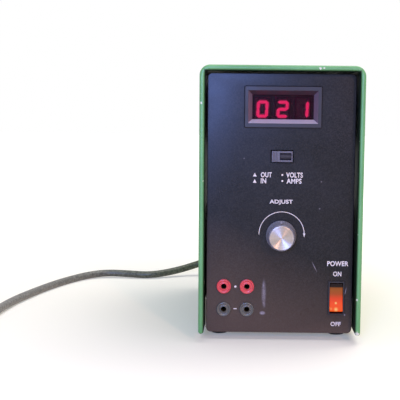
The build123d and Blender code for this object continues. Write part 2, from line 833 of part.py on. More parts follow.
def make_transformer_coil():
    width, depth, height = core_size
    z0 = transformer_base_z() + (height - core_window[1]) / 2 + fit_gap
    z1 = z0 + core_window[1] - 2 * fit_gap
    limb = width / 4 + 0.5 - core_window[0] / 2
    outer_x = limb + core_window[0] - fit_gap
    winding = block(-outer_x, outer_x, transformer_y - depth / 2, transformer_y + depth / 2, z0, z1)
    winding = fillet(winding.edges().filter_by(Axis.Z), 6.0)
    half_x, half_y = limb + fit_gap, stack_half + fit_gap
    return winding - block(-half_x, half_x, transformer_y - half_y, transformer_y + half_y, z0 - 1, z1 + 1)


def make_transformer_frame():
    """A channel strap over the core with two feet on the chassis floor."""
    width, depth, height = core_size
    y0, y1 = transformer_y - stack_half + 1, transformer_y + stack_half - 1
    top = transformer_base_z() + height + fit_gap
    half = width / 2 + fit_gap
    strap = block(-half - sheet, half + sheet, y0, y1, floor_z, top + sheet)
    strap = fillet(strap.edges().filter_by(Axis.Y).group_by(Axis.Z)[-1], 2.0)
    strap -= block(-half, half, y0 - 1, y1 + 1, floor_z + sheet, top)
    for side in (-1, 1):
        x0, x1 = sorted((side * half, side * (half + frame_foot)))
        strap += block(x0, x1, transformer_y - depth / 2, transformer_y + depth / 2, floor_z, floor_z + sheet)
    for x, y in transformer_screw_places():
        strap -= post(x, y, floor_z - 1, floor_z + sheet + 1, transformer_screw_radius + screw_gap)
    return strap


def make_transformer_screws():
    screws = []
    length = 2 * sheet
    for x, y in transformer_screw_places():
        place = Pos(x, y, floor_z + sheet)
        screws.append(pan_screw(place, transformer_screw_head, transformer_screw_radius, length))
    return Compound(screws)


def board_hole_places():
    half_x = main_board_size[0] / 2 - main_board_inset
    half_y = main_board_size[1] / 2 - main_board_inset
    return [(sx * half_x, main_board_y + sy * half_y) for sx in (-1, 1) for sy in (-1, 1)]


def board_top_z():
    return floor_z + standoff_height + board_thick


def make_main_board():
    z0 = floor_z + standoff_height
    half = main_board_size[0] / 2
    board = block(-half, half, board_front_y, board_back_y, z0, z0 + board_thick)
    board = fillet(board.edges().filter_by(Axis.Z), 2.0)
    for x, y in board_hole_places():
        board -= post(x, y, z0 - 1, z0 + board_thick + 1, board_screw_radius + screw_gap)
    return board


def make_board_standoffs():
    posts = []
    top = floor_z + standoff_height
    for x, y in board_hole_places():
        outside = post(x, y, floor_z, top, standoff_radius)
        posts.append(outside - post(x, y, floor_z + sheet, top + 1, board_screw_radius + screw_gap))
    return Compound(posts)


def make_board_screws():
    screws = []
    length = board_thick + small_screw_bite
    for x, y in board_hole_places():
        screws.append(pan_screw(Pos(x, y, board_top_z()), small_screw_head, board_screw_radius, length))
    return Compound(screws)


def make_filter_capacitors():
    cans = []
    for x, y in capacitor_places:
        can = post(x, main_board_y + y, board_top_z(), board_top_z() + capacitor_height, capacitor_radius)
        cans.append(fillet(can.edges().sort_by(Axis.Z)[-1], 1.2))
    return Compound(cans)


def make_rectifier():
    """A square bridge rectifier on the chassis floor, with four tags."""
    x, y = rectifier_x, rectifier_y
    half_x, half_y = rectifier_size[0] / 2, rectifier_size[1] / 2
    top = floor_z + rectifier_size[2]
    body = block(x - half_x, x + half_x, y - half_y, y + half_y, floor_z, top)
    body = chamfer(body.edges().filter_by(Axis.Z)[0], 2.5)
    for i in range(4):
        tx = x + (i - 1.5) * rectifier_tag_pitch
        body += block(tx - 0.4, tx + 0.4, y - 2.5, y + 2.5, top, top + rectifier_tag_rise)
    return body


def make_triac_heat_sink():
    """An extruded heat sink that stands on the board."""
    x, y = sink_place[0], main_board_y + sink_place[1]
    z0 = board_top_z()
    half = sink_length / 2
    step = (sink_length - fin_thick) / (fin_count - 1)
    sink = block(x - sink_back, x, y - half, y + half, z0, z0 + sink_height)
    for i in range(fin_count):
        fin_y = y - half + i * step
        sink += block(x - 1, x + fin_length, fin_y, fin_y + fin_thick, z0, z0 + sink_height)
    return sink


def make_triac():
    """A package with its metal tab against the heat sink and three legs into the board."""
    x, y = sink_place[0] - sink_back, main_board_y + sink_place[1]
    deep, wide, high = triac_size
    z0 = board_top_z()
    z1 = z0 + triac_rise
    body = block(x - deep, x, y - wide / 2, y + wide / 2, z1, z1 + high)
    body += block(x - 1.2, x, y - wide / 2, y + wide / 2, z1 + high - 1, z1 + high + triac_tab)
    for i in (-1, 0, 1):
        leg_y = y + i * wide / 4
        body += block(x - 3.0, x - 2.4, leg_y - 0.4, leg_y + 0.4, z0, z1 + 1)
    return body


def make_relay():
    x, y = relay_place[0], main_board_y + relay_place[1]
    half_x, half_y = relay_size[0] / 2, relay_size[1] / 2
    z0 = board_top_z()
    body = block(x - half_x, x + half_x, y - half_y, y + half_y, z0, z0 + relay_size[2])
    return fillet(body.edges().filter_by(Axis.Z), 1.0)


def make_terminal_block():
    x, y = terminal_place[0], board_front_y + terminal_place[1]
    half_x, half_y = terminal_size[0] / 2, terminal_size[1] / 2
    z0 = board_top_z()
    z1 = z0 + terminal_size[2]
    body = block(x - half_x, x + half_x, y - half_y, y + half_y, z0, z1)
    body = chamfer(body.edges().filter_by(Axis.X).group_by(Axis.Z)[-1], 2.0)
    pitch = terminal_size[0] / terminal_ways
    for i in range(terminal_ways):
        body -= post(x + (i - (terminal_ways - 1) / 2) * pitch, y, z1 - 4, z1 + 1, pitch * 0.3)
    return body


def make_strain_relief():
    """The moulded tapering sleeve that the cord leaves the rear wall through."""
    radius, thick = gland_flange
    tip = cord_diameter / 2 + 1.3
    profile = [(0, rear_y), (radius, rear_y), (radius, rear_y + thick), (radius - 1.4, rear_y + thick + 1.6),
               (tip, rear_y + gland_length), (0, rear_y + gland_length)]
    body = turned(profile, gland_x, gland_z)
    inside_y = rear_y - sheet
    body += rod(gland_x, gland_z, inside_y - gland_barb[1], rear_y, gland_neck_radius)
    body += rod(gland_x, gland_z, inside_y - gland_barb[1], inside_y, gland_barb[0])
    pitch = (gland_length - thick) / (gland_rings + 1.1)
    for i in range(gland_rings):
        y = rear_y + thick + pitch * (i + 1)
        ring = rod(gland_x, gland_z, y, y + 1.6, radius + 1)
        body -= ring - rod(gland_x, gland_z, y - 1, y + 3, cord_diameter / 2 + 1.0)
    return body


def make_fuse_holder():
    y0 = rear_y - fuse_holder_depth
    body = rod(fuse_x, fuse_z, y0, rear_y, fuse_neck_radius)
    body += rod(fuse_x, fuse_z, rear_y, rear_y + fuse_rim[1], fuse_cap_radius + fuse_rim[0])
    body += hexagon(fuse_x, fuse_z, fuse_nut[0], rear_y - sheet - fuse_nut[1], rear_y - sheet)
    body -= rod(fuse_x, fuse_z, y0 + 3.0, rear_y + 3.0, fuse_bore)
    half_tag, tag_length = fuse_tag
    return body + block(fuse_x - half_tag, fuse_x + half_tag, y0 - tag_length, y0, fuse_z - 0.4, fuse_z + 0.4)


def make_fuse_cap():
    """The bayonet cap: a grip outside and a stem that holds the fuse."""
    y0 = rear_y + fuse_rim[1] + 0.1
    y1 = rear_y + fuse_cap_proud
    cap = rod(fuse_x, fuse_z, y0, y1, fuse_cap_radius)
    cap = fillet(cap.edges().sort_by(Axis.Y)[-1], 0.8)
    reach = fuse_cap_radius + 0.6
    cap -= block(fuse_x - reach, fuse_x + reach, y1 - 1.6, y1 + 1, fuse_z - 0.7, fuse_z + 0.7)
    cap += rod(fuse_x, fuse_z, rear_y - fuse_stem, y0, fuse_bore - 0.06)
    return cap - rod(fuse_x, fuse_z, rear_y - fuse_stem - 1, rear_y - 2.0, fuse_radius + 0.05)


def make_fuse():
    y1 = rear_y - 2.1
    return rod(fuse_x, fuse_z, y1 - fuse_length, y1, fuse_radius)


# The cord's route: out of the strain relief, down to the table behind the unit, then round towards the
# front on the left. These points stay as chosen.
coil_z = cord_diameter / 2 + tie_thick + tie_gap
coil_x = coil_start_x - coil_outer_radius
coil_start = (coil_start_x, coil_y + cord_diameter, coil_z)
cord_route = [
    (gland_x, rear_y + gland_length, gland_z),
    (gland_x, rear_y + gland_length + 20, gland_z),
    (-41, 169, 30),
    (-58, 183, 23),
    (-82, 186.5, 14),
    (-108, 177, 7),
    (-136, 162, 4),
    (-165, 166, 5),
    (-188, 166.5, 5.5),
    (-206, 156, 4.5),
    (-218.5, 137, 4),
    (-230, 110, 4),
    (-239.5, 80, 4),
    (-247, 48, 4.2),
    (-253, 14, 4.8),
    (coil_start_x, -22, coil_z),
    coil_start,
]


def route_radii(points):
    """The largest arc that each corner's two runs allow."""
    radii = []
    for before, here, after in zip(points, points[1:], points[2:]):
        run_in = Vector(*here) - Vector(*before)
        run_out = Vector(*after) - Vector(*here)
        half_turn = math.radians(run_in.get_angle(run_out)) / 2
        radii.append(0.45 * min(run_in.length, run_out.length) / math.tan(half_turn))
    return radii


def make_cord_lead():
    radii = route_radii(cord_route)
    print("cord lead radii", [round(r, 1) for r in radii])
    path = FilletPolyline(*cord_route, radius=radii)
    section = Plane(origin=path @ 0, z_dir=path % 0) * Circle(cord_diameter / 2)
    tube = sweep(section, path)
    expected = math.pi * cord_diameter ** 2 / 4 * path.length
    print("cord lead length", round(path.length, 1), "volume ratio", round(tube.volume / expected, 4))
    return tube


def coil_point(turn):
    """The coil's centre line after a number of turns, clockwise from its right-hand side. It winds in on
    the table, climbs and winds out again on top."""
    total = 2 * coil_turns + climb_turn
    layer = cord_diameter + 0.5
    inner_radius = coil_outer_radius - coil_pitch * coil_turns
    if turn <= coil_turns:
        radius, rise = coil_outer_radius - coil_pitch * turn, 0.0
    elif turn <= coil_turns + climb_turn:
        share = (turn - coil_turns) / climb_turn
        radius = inner_radius - coil_pitch * climb_turn * math.sin(math.pi * share) / math.pi
        rise = layer * (1 - math.cos(math.pi * share)) / 2
    else:
        radius, rise = inner_radius + coil_pitch * (turn - coil_turns - climb_turn), layer
    late = max(0.0, turn - (total - 0.5)) / 0.5
    radius += coil_end_reach * late * late
    angle = -2 * math.pi * turn
    return Vector(coil_x + radius * math.cos(angle), coil_y + radius * math.sin(angle), coil_z + rise)


def coil_direction(turn):
    step = 0.0005
    return (coil_point(turn + step) - coil_point(turn - step)).normalized()


def biarc(start, start_dir, end, end_dir):
    """Two arcs that meet smoothly and keep both end directions."""
    span = end - start
    both = start_dir + end_dir
    along = span.dot(both)
    spread = 2 * (1 - start_dir.dot(end_dir))
    reach = (-along + math.sqrt(along * along + spread * span.dot(span))) / spread
    middle = (start + end + (start_dir - end_dir) * reach) * 0.5
    meet_dir = (end - end_dir * reach - start - start_dir * reach).normalized()
    return [TangentArc(start, middle, tangent=start_dir), TangentArc(middle, end, tangent=meet_dir)]


def coil_knots():
    total = 2 * coil_turns + climb_turn
    count = round(total * 4)
    return [total * i / count for i in range(count + 1)]


def coil_wire():
    knots = coil_knots()
    points = [coil_point(t) for t in knots]
    directions = [coil_direction(t) for t in knots]
    directions[0] = Vector(0, -1, 0)
    edges = [Line(points[0] - directions[0] * cord_diameter, points[0])]
    for i in range(len(knots) - 1):
        edges += biarc(points[i], directions[i], points[i + 1], directions[i + 1])
    edges.append(Line(points[-1], points[-1] + directions[-1] * cord_diameter))
    return Wire([edge.edge() for edge in edges])


def least_gap(wire, samples=420):
    """The least free space between two turns, measured on points of the centre line."""
    points = [wire.position_at(i / samples) for i in range(samples + 1)]
    step = wire.length / samples
    apart = round(3 * cord_diameter / step)
    pairs = ((i, j) for i in range(samples + 1) for j in range(i + apart, samples + 1))
    return min((points[i] - points[j]).length for i, j in pairs) - cord_diameter


def make_cord_coil():
    wire = coil_wire()
    section = Plane(origin=wire @ 0, z_dir=wire % 0) * Circle(cord_diameter / 2)
    tube = sweep(section, wire)
    expected = math.pi * cord_diameter ** 2 / 4 * wire.length
    print("cord coil length", round(wire.length, 1), "volume ratio", round(tube.volume / expected, 4),
          "least gap", round(least_gap(wire), 2))
    return tube


def make_cord_tie():
    """A strap round the bundle of turns, on the coil's far side from the unit."""
    layer = cord_diameter + 0.5
    inner = coil_outer_radius - coil_pitch * (coil_turns + 0.25) - cord_diameter / 2 - tie_gap
    outer = coil_outer_radius + cord_diameter / 2 + tie_gap
    low = coil_z - cord_diameter / 2 - tie_gap
    high = coil_z + layer + cord_diameter / 2 + tie_gap
    hole = block(coil_x - outer, coil_x - inner, coil_y - tie_width, coil_y + tie_width, low, high)
    hole = fillet(hole.edges().filter_by(Axis.Y), cord_diameter / 2 - 0.4)
    strap = block(coil_x - outer - tie_thick, coil_x - inner + tie_thick, coil_y - tie_width / 2,
                  coil_y + tie_width / 2, low - tie_thick, high + tie_thick)
    strap = fillet(strap.edges().filter_by(Axis.Y), cord_diameter / 2)
    return strap - hole


def plug_frame():
    """A frame at the coil's end: its own X runs out along the cord, its own Z is up."""
    knots = coil_knots()
    direction = coil_direction(knots[-1])
    origin = coil_point(knots[-1]) + direction * cord_diameter
    return Plane(origin=origin, x_dir=direction, z_dir=(0, 0, 1)).location


def make_plug_body():
    """A moulded three-pin plug: a ribbed neck that widens into a flat-sided grip."""
    neck = extrude(Plane.YZ * Circle(cord_diameter / 2 + 1.6), amount=10.0)
    start = Plane.YZ.offset(9.0) * RectangleRounded(cord_diameter + 4, cord_diameter + 4, 4.0)
    middle = Plane.YZ.offset(18.0) * RectangleRounded(plug_width * 0.86, plug_height * 0.9, 5.0)
    end = Plane.YZ.offset(plug_length) * RectangleRounded(plug_width, plug_height, 5.0)
    body = neck + loft([start, middle]) + loft([middle, end])
    body = fillet(body.edges().filter_by_position(Axis.X, plug_length - 0.01, plug_length + 0.01), 0.8)
    for i in range(3):
        x = 2.0 + 2.6 * i
        body -= Pos(x, 0, 0) * Rot(0, 90, 0) * (Cylinder(9.0, 1.1) - Cylinder(cord_diameter / 2 + 0.9, 2.0))
    return plug_frame() * body


def make_plug_blades():
    blades = []
    for side in (-1, 1):
        y = side * 6.35
        blade = block(plug_length, plug_length + blade_length, y - 0.75, y + 0.75, -1.2, 5.2)
        blades.append(plug_frame() * blade)
    pin = axle(0, -7.0, plug_length, plug_length + blade_length + 2.0, 2.4)
    blades.append(plug_frame() * pin)
    return Compound(blades)


nodes = {
    "cover": make_cover,
    "cover_screws": make_cover_screws,
    "chassis": make_chassis,
    "front_panel": make_front_panel,
    "panel_studs": make_panel_studs,
    "panel_nuts": make_panel_nuts,
    "feet": make_feet,
    "foot_screws": make_foot_screws,
    "display_bezel": make_display_bezel,
    "display_window": make_display_window,
    "digit_left": lambda: make_digit(digit_places[0]),
    "digit_middle": lambda: make_digit(digit_places[1]),
    "digit_right": lambda: make_digit(digit_places[2]),
    "display_board": make_display_board,
    "display_standoffs": make_display_standoffs,
    "display_screws": make_display_screws,
    "selector_housing": make_selector_housing,
    "selector_button": make_selector_button,
    "flag_drum": make_flag_drum,
    "flag_green": make_flag_green,
    "knob": make_knob,
    "knob_cap": make_knob_cap,
    "knob_screw": make_knob_screw,
    "pot_shaft": make_pot_shaft,
    "pot_body": make_pot_body,
    "pot_washer": make_pot_washer,
    "pot_nut": make_pot_nut,
    "rocker_housing": make_rocker_housing,
    "rocker_button": make_rocker_button,
    "rocker_lamp": make_rocker_lamp,
    "rocker_tabs": make_rocker_tabs,
    "jack_red_left": lambda: make_jack(*jack_places[0]),
    "jack_red_right": lambda: make_jack(*jack_places[1]),
    "jack_black_left": lambda: make_jack(*jack_places[2]),
    "jack_black_right": lambda: make_jack(*jack_places[3]),
    "jack_sockets": make_jack_sockets,
    "jack_nuts": make_jack_nuts,
    "transformer_core": make_transformer_core,
    "transformer_coil": make_transformer_coil,
    "transformer_frame": make_transformer_frame,
    "transformer_screws": make_transformer_screws,
    "main_board": make_main_board,
    "board_standoffs": make_board_standoffs,
    "board_screws": make_board_screws,
    "filter_capacitors": make_filter_capacitors,
    "rectifier": make_rectifier,
    "triac": make_triac,
    "triac_heat_sink": make_triac_heat_sink,
    "relay": make_relay,
    "terminal_block": make_terminal_block,
    "fuse_holder": make_fuse_holder,
    "fuse_cap": make_fuse_cap,
    "fuse": make_fuse,
    "strain_relief": make_strain_relief,
    "cord_lead": make_cord_lead,
    "cord_coil": make_cord_coil,
    "cord_tie": make_cord_tie,
    "plug_body": make_plug_body,
    "plug_blades": make_plug_blades,
}

for name, make in nodes.items():
    export_step(make(), f"parts/{name}.step")
print("nodes", len(nodes))
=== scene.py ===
"""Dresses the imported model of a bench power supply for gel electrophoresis: a satin green cover round a
black painted panel, with a red digital meter, a spun knob, a lit rocker, banana jacks and a mains cord."""
import json
import math

import bmesh
import bpy
from mathutils import Matrix, Vector


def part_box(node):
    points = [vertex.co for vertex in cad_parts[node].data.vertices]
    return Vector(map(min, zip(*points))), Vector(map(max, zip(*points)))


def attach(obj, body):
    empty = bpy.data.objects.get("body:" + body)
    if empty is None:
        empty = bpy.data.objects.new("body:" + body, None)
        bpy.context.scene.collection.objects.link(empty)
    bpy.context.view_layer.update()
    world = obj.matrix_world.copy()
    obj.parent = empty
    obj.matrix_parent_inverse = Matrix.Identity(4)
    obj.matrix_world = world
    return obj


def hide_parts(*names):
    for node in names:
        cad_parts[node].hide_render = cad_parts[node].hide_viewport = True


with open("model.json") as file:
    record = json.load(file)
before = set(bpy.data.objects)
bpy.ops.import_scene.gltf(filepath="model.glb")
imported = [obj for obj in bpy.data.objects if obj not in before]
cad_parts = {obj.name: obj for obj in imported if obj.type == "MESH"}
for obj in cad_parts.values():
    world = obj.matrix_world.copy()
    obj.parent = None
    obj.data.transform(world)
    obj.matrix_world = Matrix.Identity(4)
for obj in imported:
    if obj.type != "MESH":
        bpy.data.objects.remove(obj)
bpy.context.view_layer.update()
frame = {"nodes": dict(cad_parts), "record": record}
cad = frame["nodes"]

# Sizes in millimetres, as in the part's source
COVER_WIDTH, COVER_TOP, COVER_WALL = 132.0, 225.0, 4.4
COVER_FRONT_Y, COVER_BACK_Y, COVER_BOTTOM = -113.3, 116.7, 7.5
COVER_CORNER, COVER_EDGE_ROUND = 8.5, 2.0
PANEL_Y = -100.3
COLUMN_X = 0.8
KNOB_Z, KNOB_FRONT_Y = 87.6, -116.7
CORD_DIAMETER = 7.8
# Points closer than this count as one
MERGE = 0.002


def mm(*values):
    """Millimetres to metres, as one number or a tuple."""
    found = tuple(v * 0.001 for v in values)
    return found if len(found) > 1 else found[0]


def lumps(size_mm):
    """A noise texture's scale for lumps about size_mm across."""
    return 1.0 / mm(size_mm)


def srgb(code):
    """A hex colour as it is seen, turned to the linear one that shaders take."""
    parts = [int(code[i:i + 2], 16) / 255 for i in (1, 3, 5)]
    return tuple(p / 12.92 if p <= 0.04045 else ((p + 0.055) / 1.055) ** 2.4 for p in parts) + (1.0,)


# Nodes

def fill(tree, node, inputs=None, **named):
    """Fills a node's inputs, each from a value, a socket, or a node, whose first output is then linked."""
    wanted = dict(inputs or {})
    wanted.update((key.replace("_", " "), value) for key, value in named.items())
    for key, value in wanted.items():
        socket = node.inputs[key]
        if isinstance(value, bpy.types.Node):
            value = value.outputs[0]
        if isinstance(value, bpy.types.NodeSocket):
            tree.links.new(value, socket)
        else:
            socket.default_value = value


def add(tree, kind, inputs=None, stops=None, **settings):
    """Adds a node. Capitalised settings are its inputs, the others its own options, and stops a colour ramp's
    places with their hex colours or greys."""
    node = tree.nodes.new(kind)
    named = {}
    for key, value in settings.items():
        if key[0].isupper():
            named[key] = value
        else:
            setattr(node, key, value)
    fill(tree, node, inputs, **named)
    if stops:
        elements = node.color_ramp.elements
        while len(elements) < len(stops):
            elements.new(0.5)
        for element, (place, colour) in zip(elements, stops):
            element.position = place
            element.color = srgb(colour) if isinstance(colour, str) else (colour, colour, colour, 1.0)
    return node


def new_material(name):
    """An empty node material, its Principled surface, and the Object coordinates that its patterns follow."""
    material = bpy.data.materials.new(name)
    material.use_nodes = True
    tree = material.node_tree
    tree.nodes.clear()
    surface = add(tree, "ShaderNodeBsdfPrincipled")
    add(tree, "ShaderNodeOutputMaterial", Surface=surface)
    return material, tree, surface, add(tree, "ShaderNodeTexCoord").outputs["Object"]


def sees_white(tree):
    """1 for the rays that should meet the white background: the camera's, and those of gloss and glass."""
    rays = add(tree, "ShaderNodeLightPath").outputs
    seen = add(tree, "ShaderNodeMath", {0: rays["Is Camera Ray"], 1: rays["Is Glossy Ray"]},
               operation="MAXIMUM")
    return add(tree, "ShaderNodeMath", {0: seen, 1: rays["Is Transmission Ray"]}, operation="MAXIMUM")


# Materials

def moulded(name, colour, roughness=0.42, grain_mm=0.5, depth=0.12, gloss=0.3):
    """Injection-moulded plastic: one colour, a fine spark-eroded grain and slightly uneven gloss."""
    material, tree, surface, place = new_material(name)
    fine = add(tree, "ShaderNodeTexNoise", Vector=place, Scale=lumps(grain_mm))
    broad = add(tree, "ShaderNodeTexNoise", Vector=place, Scale=lumps(14.0))
    uneven = add(tree, "ShaderNodeMapRange", Value=broad, From_Min=0.3, From_Max=0.7,
                 To_Min=roughness - 0.05, To_Max=roughness + 0.06)
    fill(tree, surface, Base_Color=srgb(colour), IOR=1.5, Specular_IOR_Level=gloss, Roughness=uneven,
         Normal=add(tree, "ShaderNodeBump", Height=fine, Strength=depth, Distance=mm(0.05)))
    return material


def metal(name, colour, roughness=0.3, grain_mm=0.6):
    """Plated, drawn or turned metal: its fine uneven gloss breaks up what it reflects."""
    material, tree, surface, place = new_material(name)
    fine = add(tree, "ShaderNodeTexNoise", Vector=place, Scale=lumps(grain_mm), Detail=4.0)
    uneven = add(tree, "ShaderNodeMapRange", Value=fine, From_Min=0.3, From_Max=0.7,
                 To_Min=roughness - 0.08, To_Max=roughness + 0.1)
    fill(tree, surface, Base_Color=srgb(colour), Metallic=1.0, Roughness=uneven,
         Normal=add(tree, "ShaderNodeBump", Height=fine, Strength=0.08, Distance=mm(0.03)))
    return material


def spun_aluminium():
    """Spun aluminium: turning grooves in rings draw each lamp out into a streak across the disc. They are
    drawn 0.35 mm wide, where real ones are finer, so that they show."""
    material, tree, surface, place = new_material("Aluminium, spun")
    place = add(tree, "ShaderNodeMapping", Vector=place, Location=mm(-COLUMN_X, 0, -KNOB_Z))
    flat = add(tree, "ShaderNodeVectorMath", {0: place, 1: (1, 0, 1)}, operation="MULTIPLY")
    radius = add(tree, "ShaderNodeVectorMath", {0: flat}, operation="LENGTH").outputs["Value"]
    rings = add(tree, "ShaderNodeTexNoise", noise_dimensions="1D", W=radius, Scale=lumps(0.35), Detail=3.0)
    outward = add(tree, "ShaderNodeVectorMath", {0: flat}, operation="NORMALIZE")
    fill(tree, surface, Metallic=1.0, Roughness=0.42, Anisotropic=0.95,
         Base_Color=add(tree, "ShaderNodeValToRGB", Fac=rings, stops=[(0.3, "#A0948E"), (0.7, "#B9AFAC")]),
         Normal=add(tree, "ShaderNodeBump", Height=rings, Strength=0.12, Distance=mm(0.02)),
         Tangent=add(tree, "ShaderNodeVectorTransform", Vector=outward, vector_type="VECTOR",
                     convert_from="OBJECT", convert_to="WORLD"))
    return material


# Pale rubs on the panel: x, z, width, height and turn (degrees), strength
PANEL_MARKS = [
    (-12.6, 39.5, 4.4, 26.0, 0, 0.9), (-12.9, 46.0, 2.6, 10.0, 4, 1.0), (-12.4, 31.0, 3.0, 9.0, -5, 0.8),
    (-13.6, 22.9, 5.4, 3.8, 0, 1.7), (28.7, 61.9, 0.8, 11.0, -27, 1.4), (54.6, 41.8, 0.9, 7.5, 12, 1.9),
    (54.3, 22.1, 1.4, 2.2, 0, 1.6), (33.0, 132.0, 1.4, 1.4, 0, 1.2), (-30.0, 150.5, 1.4, 1.2, 0, 0.9),
    (32.0, 110.0, 1.6, 1.6, 0, 0.8),
]


def panel_paint():
    """Satin black enamel on aluminium: fine orange peel, lightly dusted all over, turned brown towards its
    foot and lower left by a painted warm reflection of the table, and rubbed pale where plugs and hands
    have touched it."""
    material, tree, surface, place = new_material("Enamel, satin black, sprayed")
    cloud = add(tree, "ShaderNodeTexNoise", Vector=place, Scale=lumps(22.0), Detail=3.0)
    black = add(tree, "ShaderNodeValToRGB", Fac=cloud, stops=[(0.35, "#0B0B0D"), (0.65, "#111113")])
    axes = add(tree, "ShaderNodeSeparateXYZ", Vector=place).outputs
    # Painted reflection: a warm brown from the table is mixed in towards the panel's foot and its lower left.
    slant = add(tree, "ShaderNodeMath", {0: axes[0], 1: 0.45, 2: axes[2]}, operation="MULTIPLY_ADD")
    left = add(tree, "ShaderNodeMapRange", Value=slant, From_Min=mm(82.0), From_Max=mm(6.0))
    low = add(tree, "ShaderNodeMapRange", Value=axes[2], From_Min=mm(34.0), From_Max=mm(8.0))
    painted_table_reflection = add(tree, "ShaderNodeMath", {0: left, 1: low}, operation="MAXIMUM")
    colour = add(tree, "ShaderNodeMix", {0: painted_table_reflection, 6: black, 7: srgb("#4C4037")}, data_type="RGBA")
    speckle = add(tree, "ShaderNodeTexNoise", Vector=place, Scale=lumps(0.9), Detail=6.0)
    dust_and_painted_light = add(tree, "ShaderNodeValToRGB", Fac=speckle, stops=[(0.40, 0.0), (0.72, 0.06)])
    colour = add(tree, "ShaderNodeMix", {0: dust_and_painted_light, 6: colour.outputs[2], 7: srgb("#8F8A88")}, data_type="RGBA")
    marks = 0.0
    for x, z, width, height, turn, strength in PANEL_MARKS:
        spot = add(tree, "ShaderNodeMapping", Vector=place, vector_type="TEXTURE", Location=mm(x, PANEL_Y, z),
                   Rotation=(0, math.radians(turn), 0), Scale=mm(width / 2, 5.0, height / 2))
        fade = add(tree, "ShaderNodeTexGradient", Vector=spot, gradient_type="SPHERICAL")
        fade = add(tree, "ShaderNodeMath", {0: fade, 1: strength}, operation="MULTIPLY", use_clamp=True)
        marks = add(tree, "ShaderNodeMath", {0: marks, 1: fade}, operation="MAXIMUM")
    broken = add(tree, "ShaderNodeTexNoise", Vector=place, Scale=lumps(0.8), Detail=4.0)
    rubbed = add(tree, "ShaderNodeMath", {0: marks, 1: broken}, operation="MULTIPLY")
    colour = add(tree, "ShaderNodeMix", {0: rubbed, 6: colour.outputs[2], 7: srgb("#A9A6AE")},
                 data_type="RGBA")
    peel = add(tree, "ShaderNodeTexNoise", Vector=place, Scale=lumps(0.9))
    fill(tree, surface, Base_Color=colour.outputs[2], IOR=1.5, Specular_IOR_Level=0.18,
         Roughness=add(tree, "ShaderNodeMapRange", Value=cloud, From_Min=0.3, From_Max=0.7, To_Min=0.27,
                       To_Max=0.32),
         Normal=add(tree, "ShaderNodeBump", Height=peel, Strength=0.10, Distance=mm(0.04)))
    return material


# Chips on the cover's front edge: x, z and size
COVER_CHIPS = [(29.5, 222.6, 1.6), (32.5, 222.9, 1.4), (-64.4, 194.6, 1.6), (62.6, 37.5, 1.4),
               (63.6, 9.0, 3.2)]


def cover_enamel():
    """Satin green enamel over pale primer: softly uneven, chipped to the primer on its front edges and tips,
    with painted shade inside, near-black green and less glossy where the wall faces in round the panel."""
    material, tree, surface, place = new_material("Enamel, satin green, sprayed")
    cloud = add(tree, "ShaderNodeTexNoise", Vector=place, Scale=lumps(30.0), Detail=3.0)
    green = add(tree, "ShaderNodeValToRGB", Fac=cloud, stops=[(0.3, "#529156"), (0.7, "#62A164")])
    edge = add(tree, "ShaderNodeAttribute", attribute_name="edge", attribute_type="GEOMETRY").outputs["Fac"]
    flakes = add(tree, "ShaderNodeTexNoise", Vector=place, Scale=lumps(4.0), Detail=6.0)
    worn = add(tree, "ShaderNodeMath", {0: edge, 1: 0.10, 2: flakes}, operation="MULTIPLY_ADD")
    chips = add(tree, "ShaderNodeValToRGB", Fac=worn, stops=[(0.815, 0.0), (0.835, 1.0)])
    ragged = add(tree, "ShaderNodeTexNoise", Vector=place, Scale=lumps(1.0), Detail=3.0)
    for x, z, size in COVER_CHIPS:
        spot = add(tree, "ShaderNodeMapping", Vector=place, vector_type="TEXTURE",
                   Location=mm(x, COVER_FRONT_Y, z), Scale=mm(size, 3.0, size))
        fade = add(tree, "ShaderNodeTexGradient", Vector=spot, gradient_type="SPHERICAL")
        rough = add(tree, "ShaderNodeMath", {0: fade, 1: 0.6, 2: ragged}, operation="MULTIPLY_ADD")
        chip = add(tree, "ShaderNodeValToRGB", Fac=rough, stops=[(0.74, 0.0), (0.80, 1.0)])
        chips = add(tree, "ShaderNodeMath", {0: chips, 1: chip}, operation="MAXIMUM")
    # Painted shade: the wall's inner faces, in the recess round the panel, go near-black and less glossy.
    axes = add(tree, "ShaderNodeSeparateXYZ", Vector=place).outputs
    half, roof, blend = COVER_WIDTH / 2 - COVER_WALL, COVER_TOP - COVER_WALL, 1.3
    side = add(tree, "ShaderNodeMath", {0: axes[0]}, operation="ABSOLUTE")
    side = add(tree, "ShaderNodeMapRange", Value=side, From_Min=mm(half), From_Max=mm(half + blend))
    top = add(tree, "ShaderNodeMapRange", Value=axes[2], From_Min=mm(roof), From_Max=mm(roof + blend))
    outside = add(tree, "ShaderNodeMath", {0: side, 1: top}, operation="MAXIMUM")
    colour = add(tree, "ShaderNodeMix", {0: outside, 6: srgb("#0F1D13"), 7: green}, data_type="RGBA")
    colour = add(tree, "ShaderNodeMix", {0: chips, 6: colour.outputs[2], 7: srgb("#CDD3BF")},
                 data_type="RGBA")
    peel = add(tree, "ShaderNodeTexNoise", Vector=place, Scale=lumps(1.1))
    fill(tree, surface, Base_Color=colour.outputs[2], IOR=1.5, Roughness=0.42,
         Specular_IOR_Level=add(tree, "ShaderNodeMapRange", Value=outside, To_Min=0.1, To_Max=0.5),
         Normal=add(tree, "ShaderNodeBump", Height=peel, Strength=0.12, Distance=mm(0.04)))
    return material


def dark_filter():
    """Dark red acrylic filter, cast and polished: clear, so that the digits behind it shine through."""
    material, tree, surface, _ = new_material("Acrylic filter, dark red")
    fill(tree, surface, Base_Color=srgb("#2C0818"), Roughness=0.2, IOR=1.49, Specular_IOR_Level=0.06,
         Alpha=0.5)
    return material


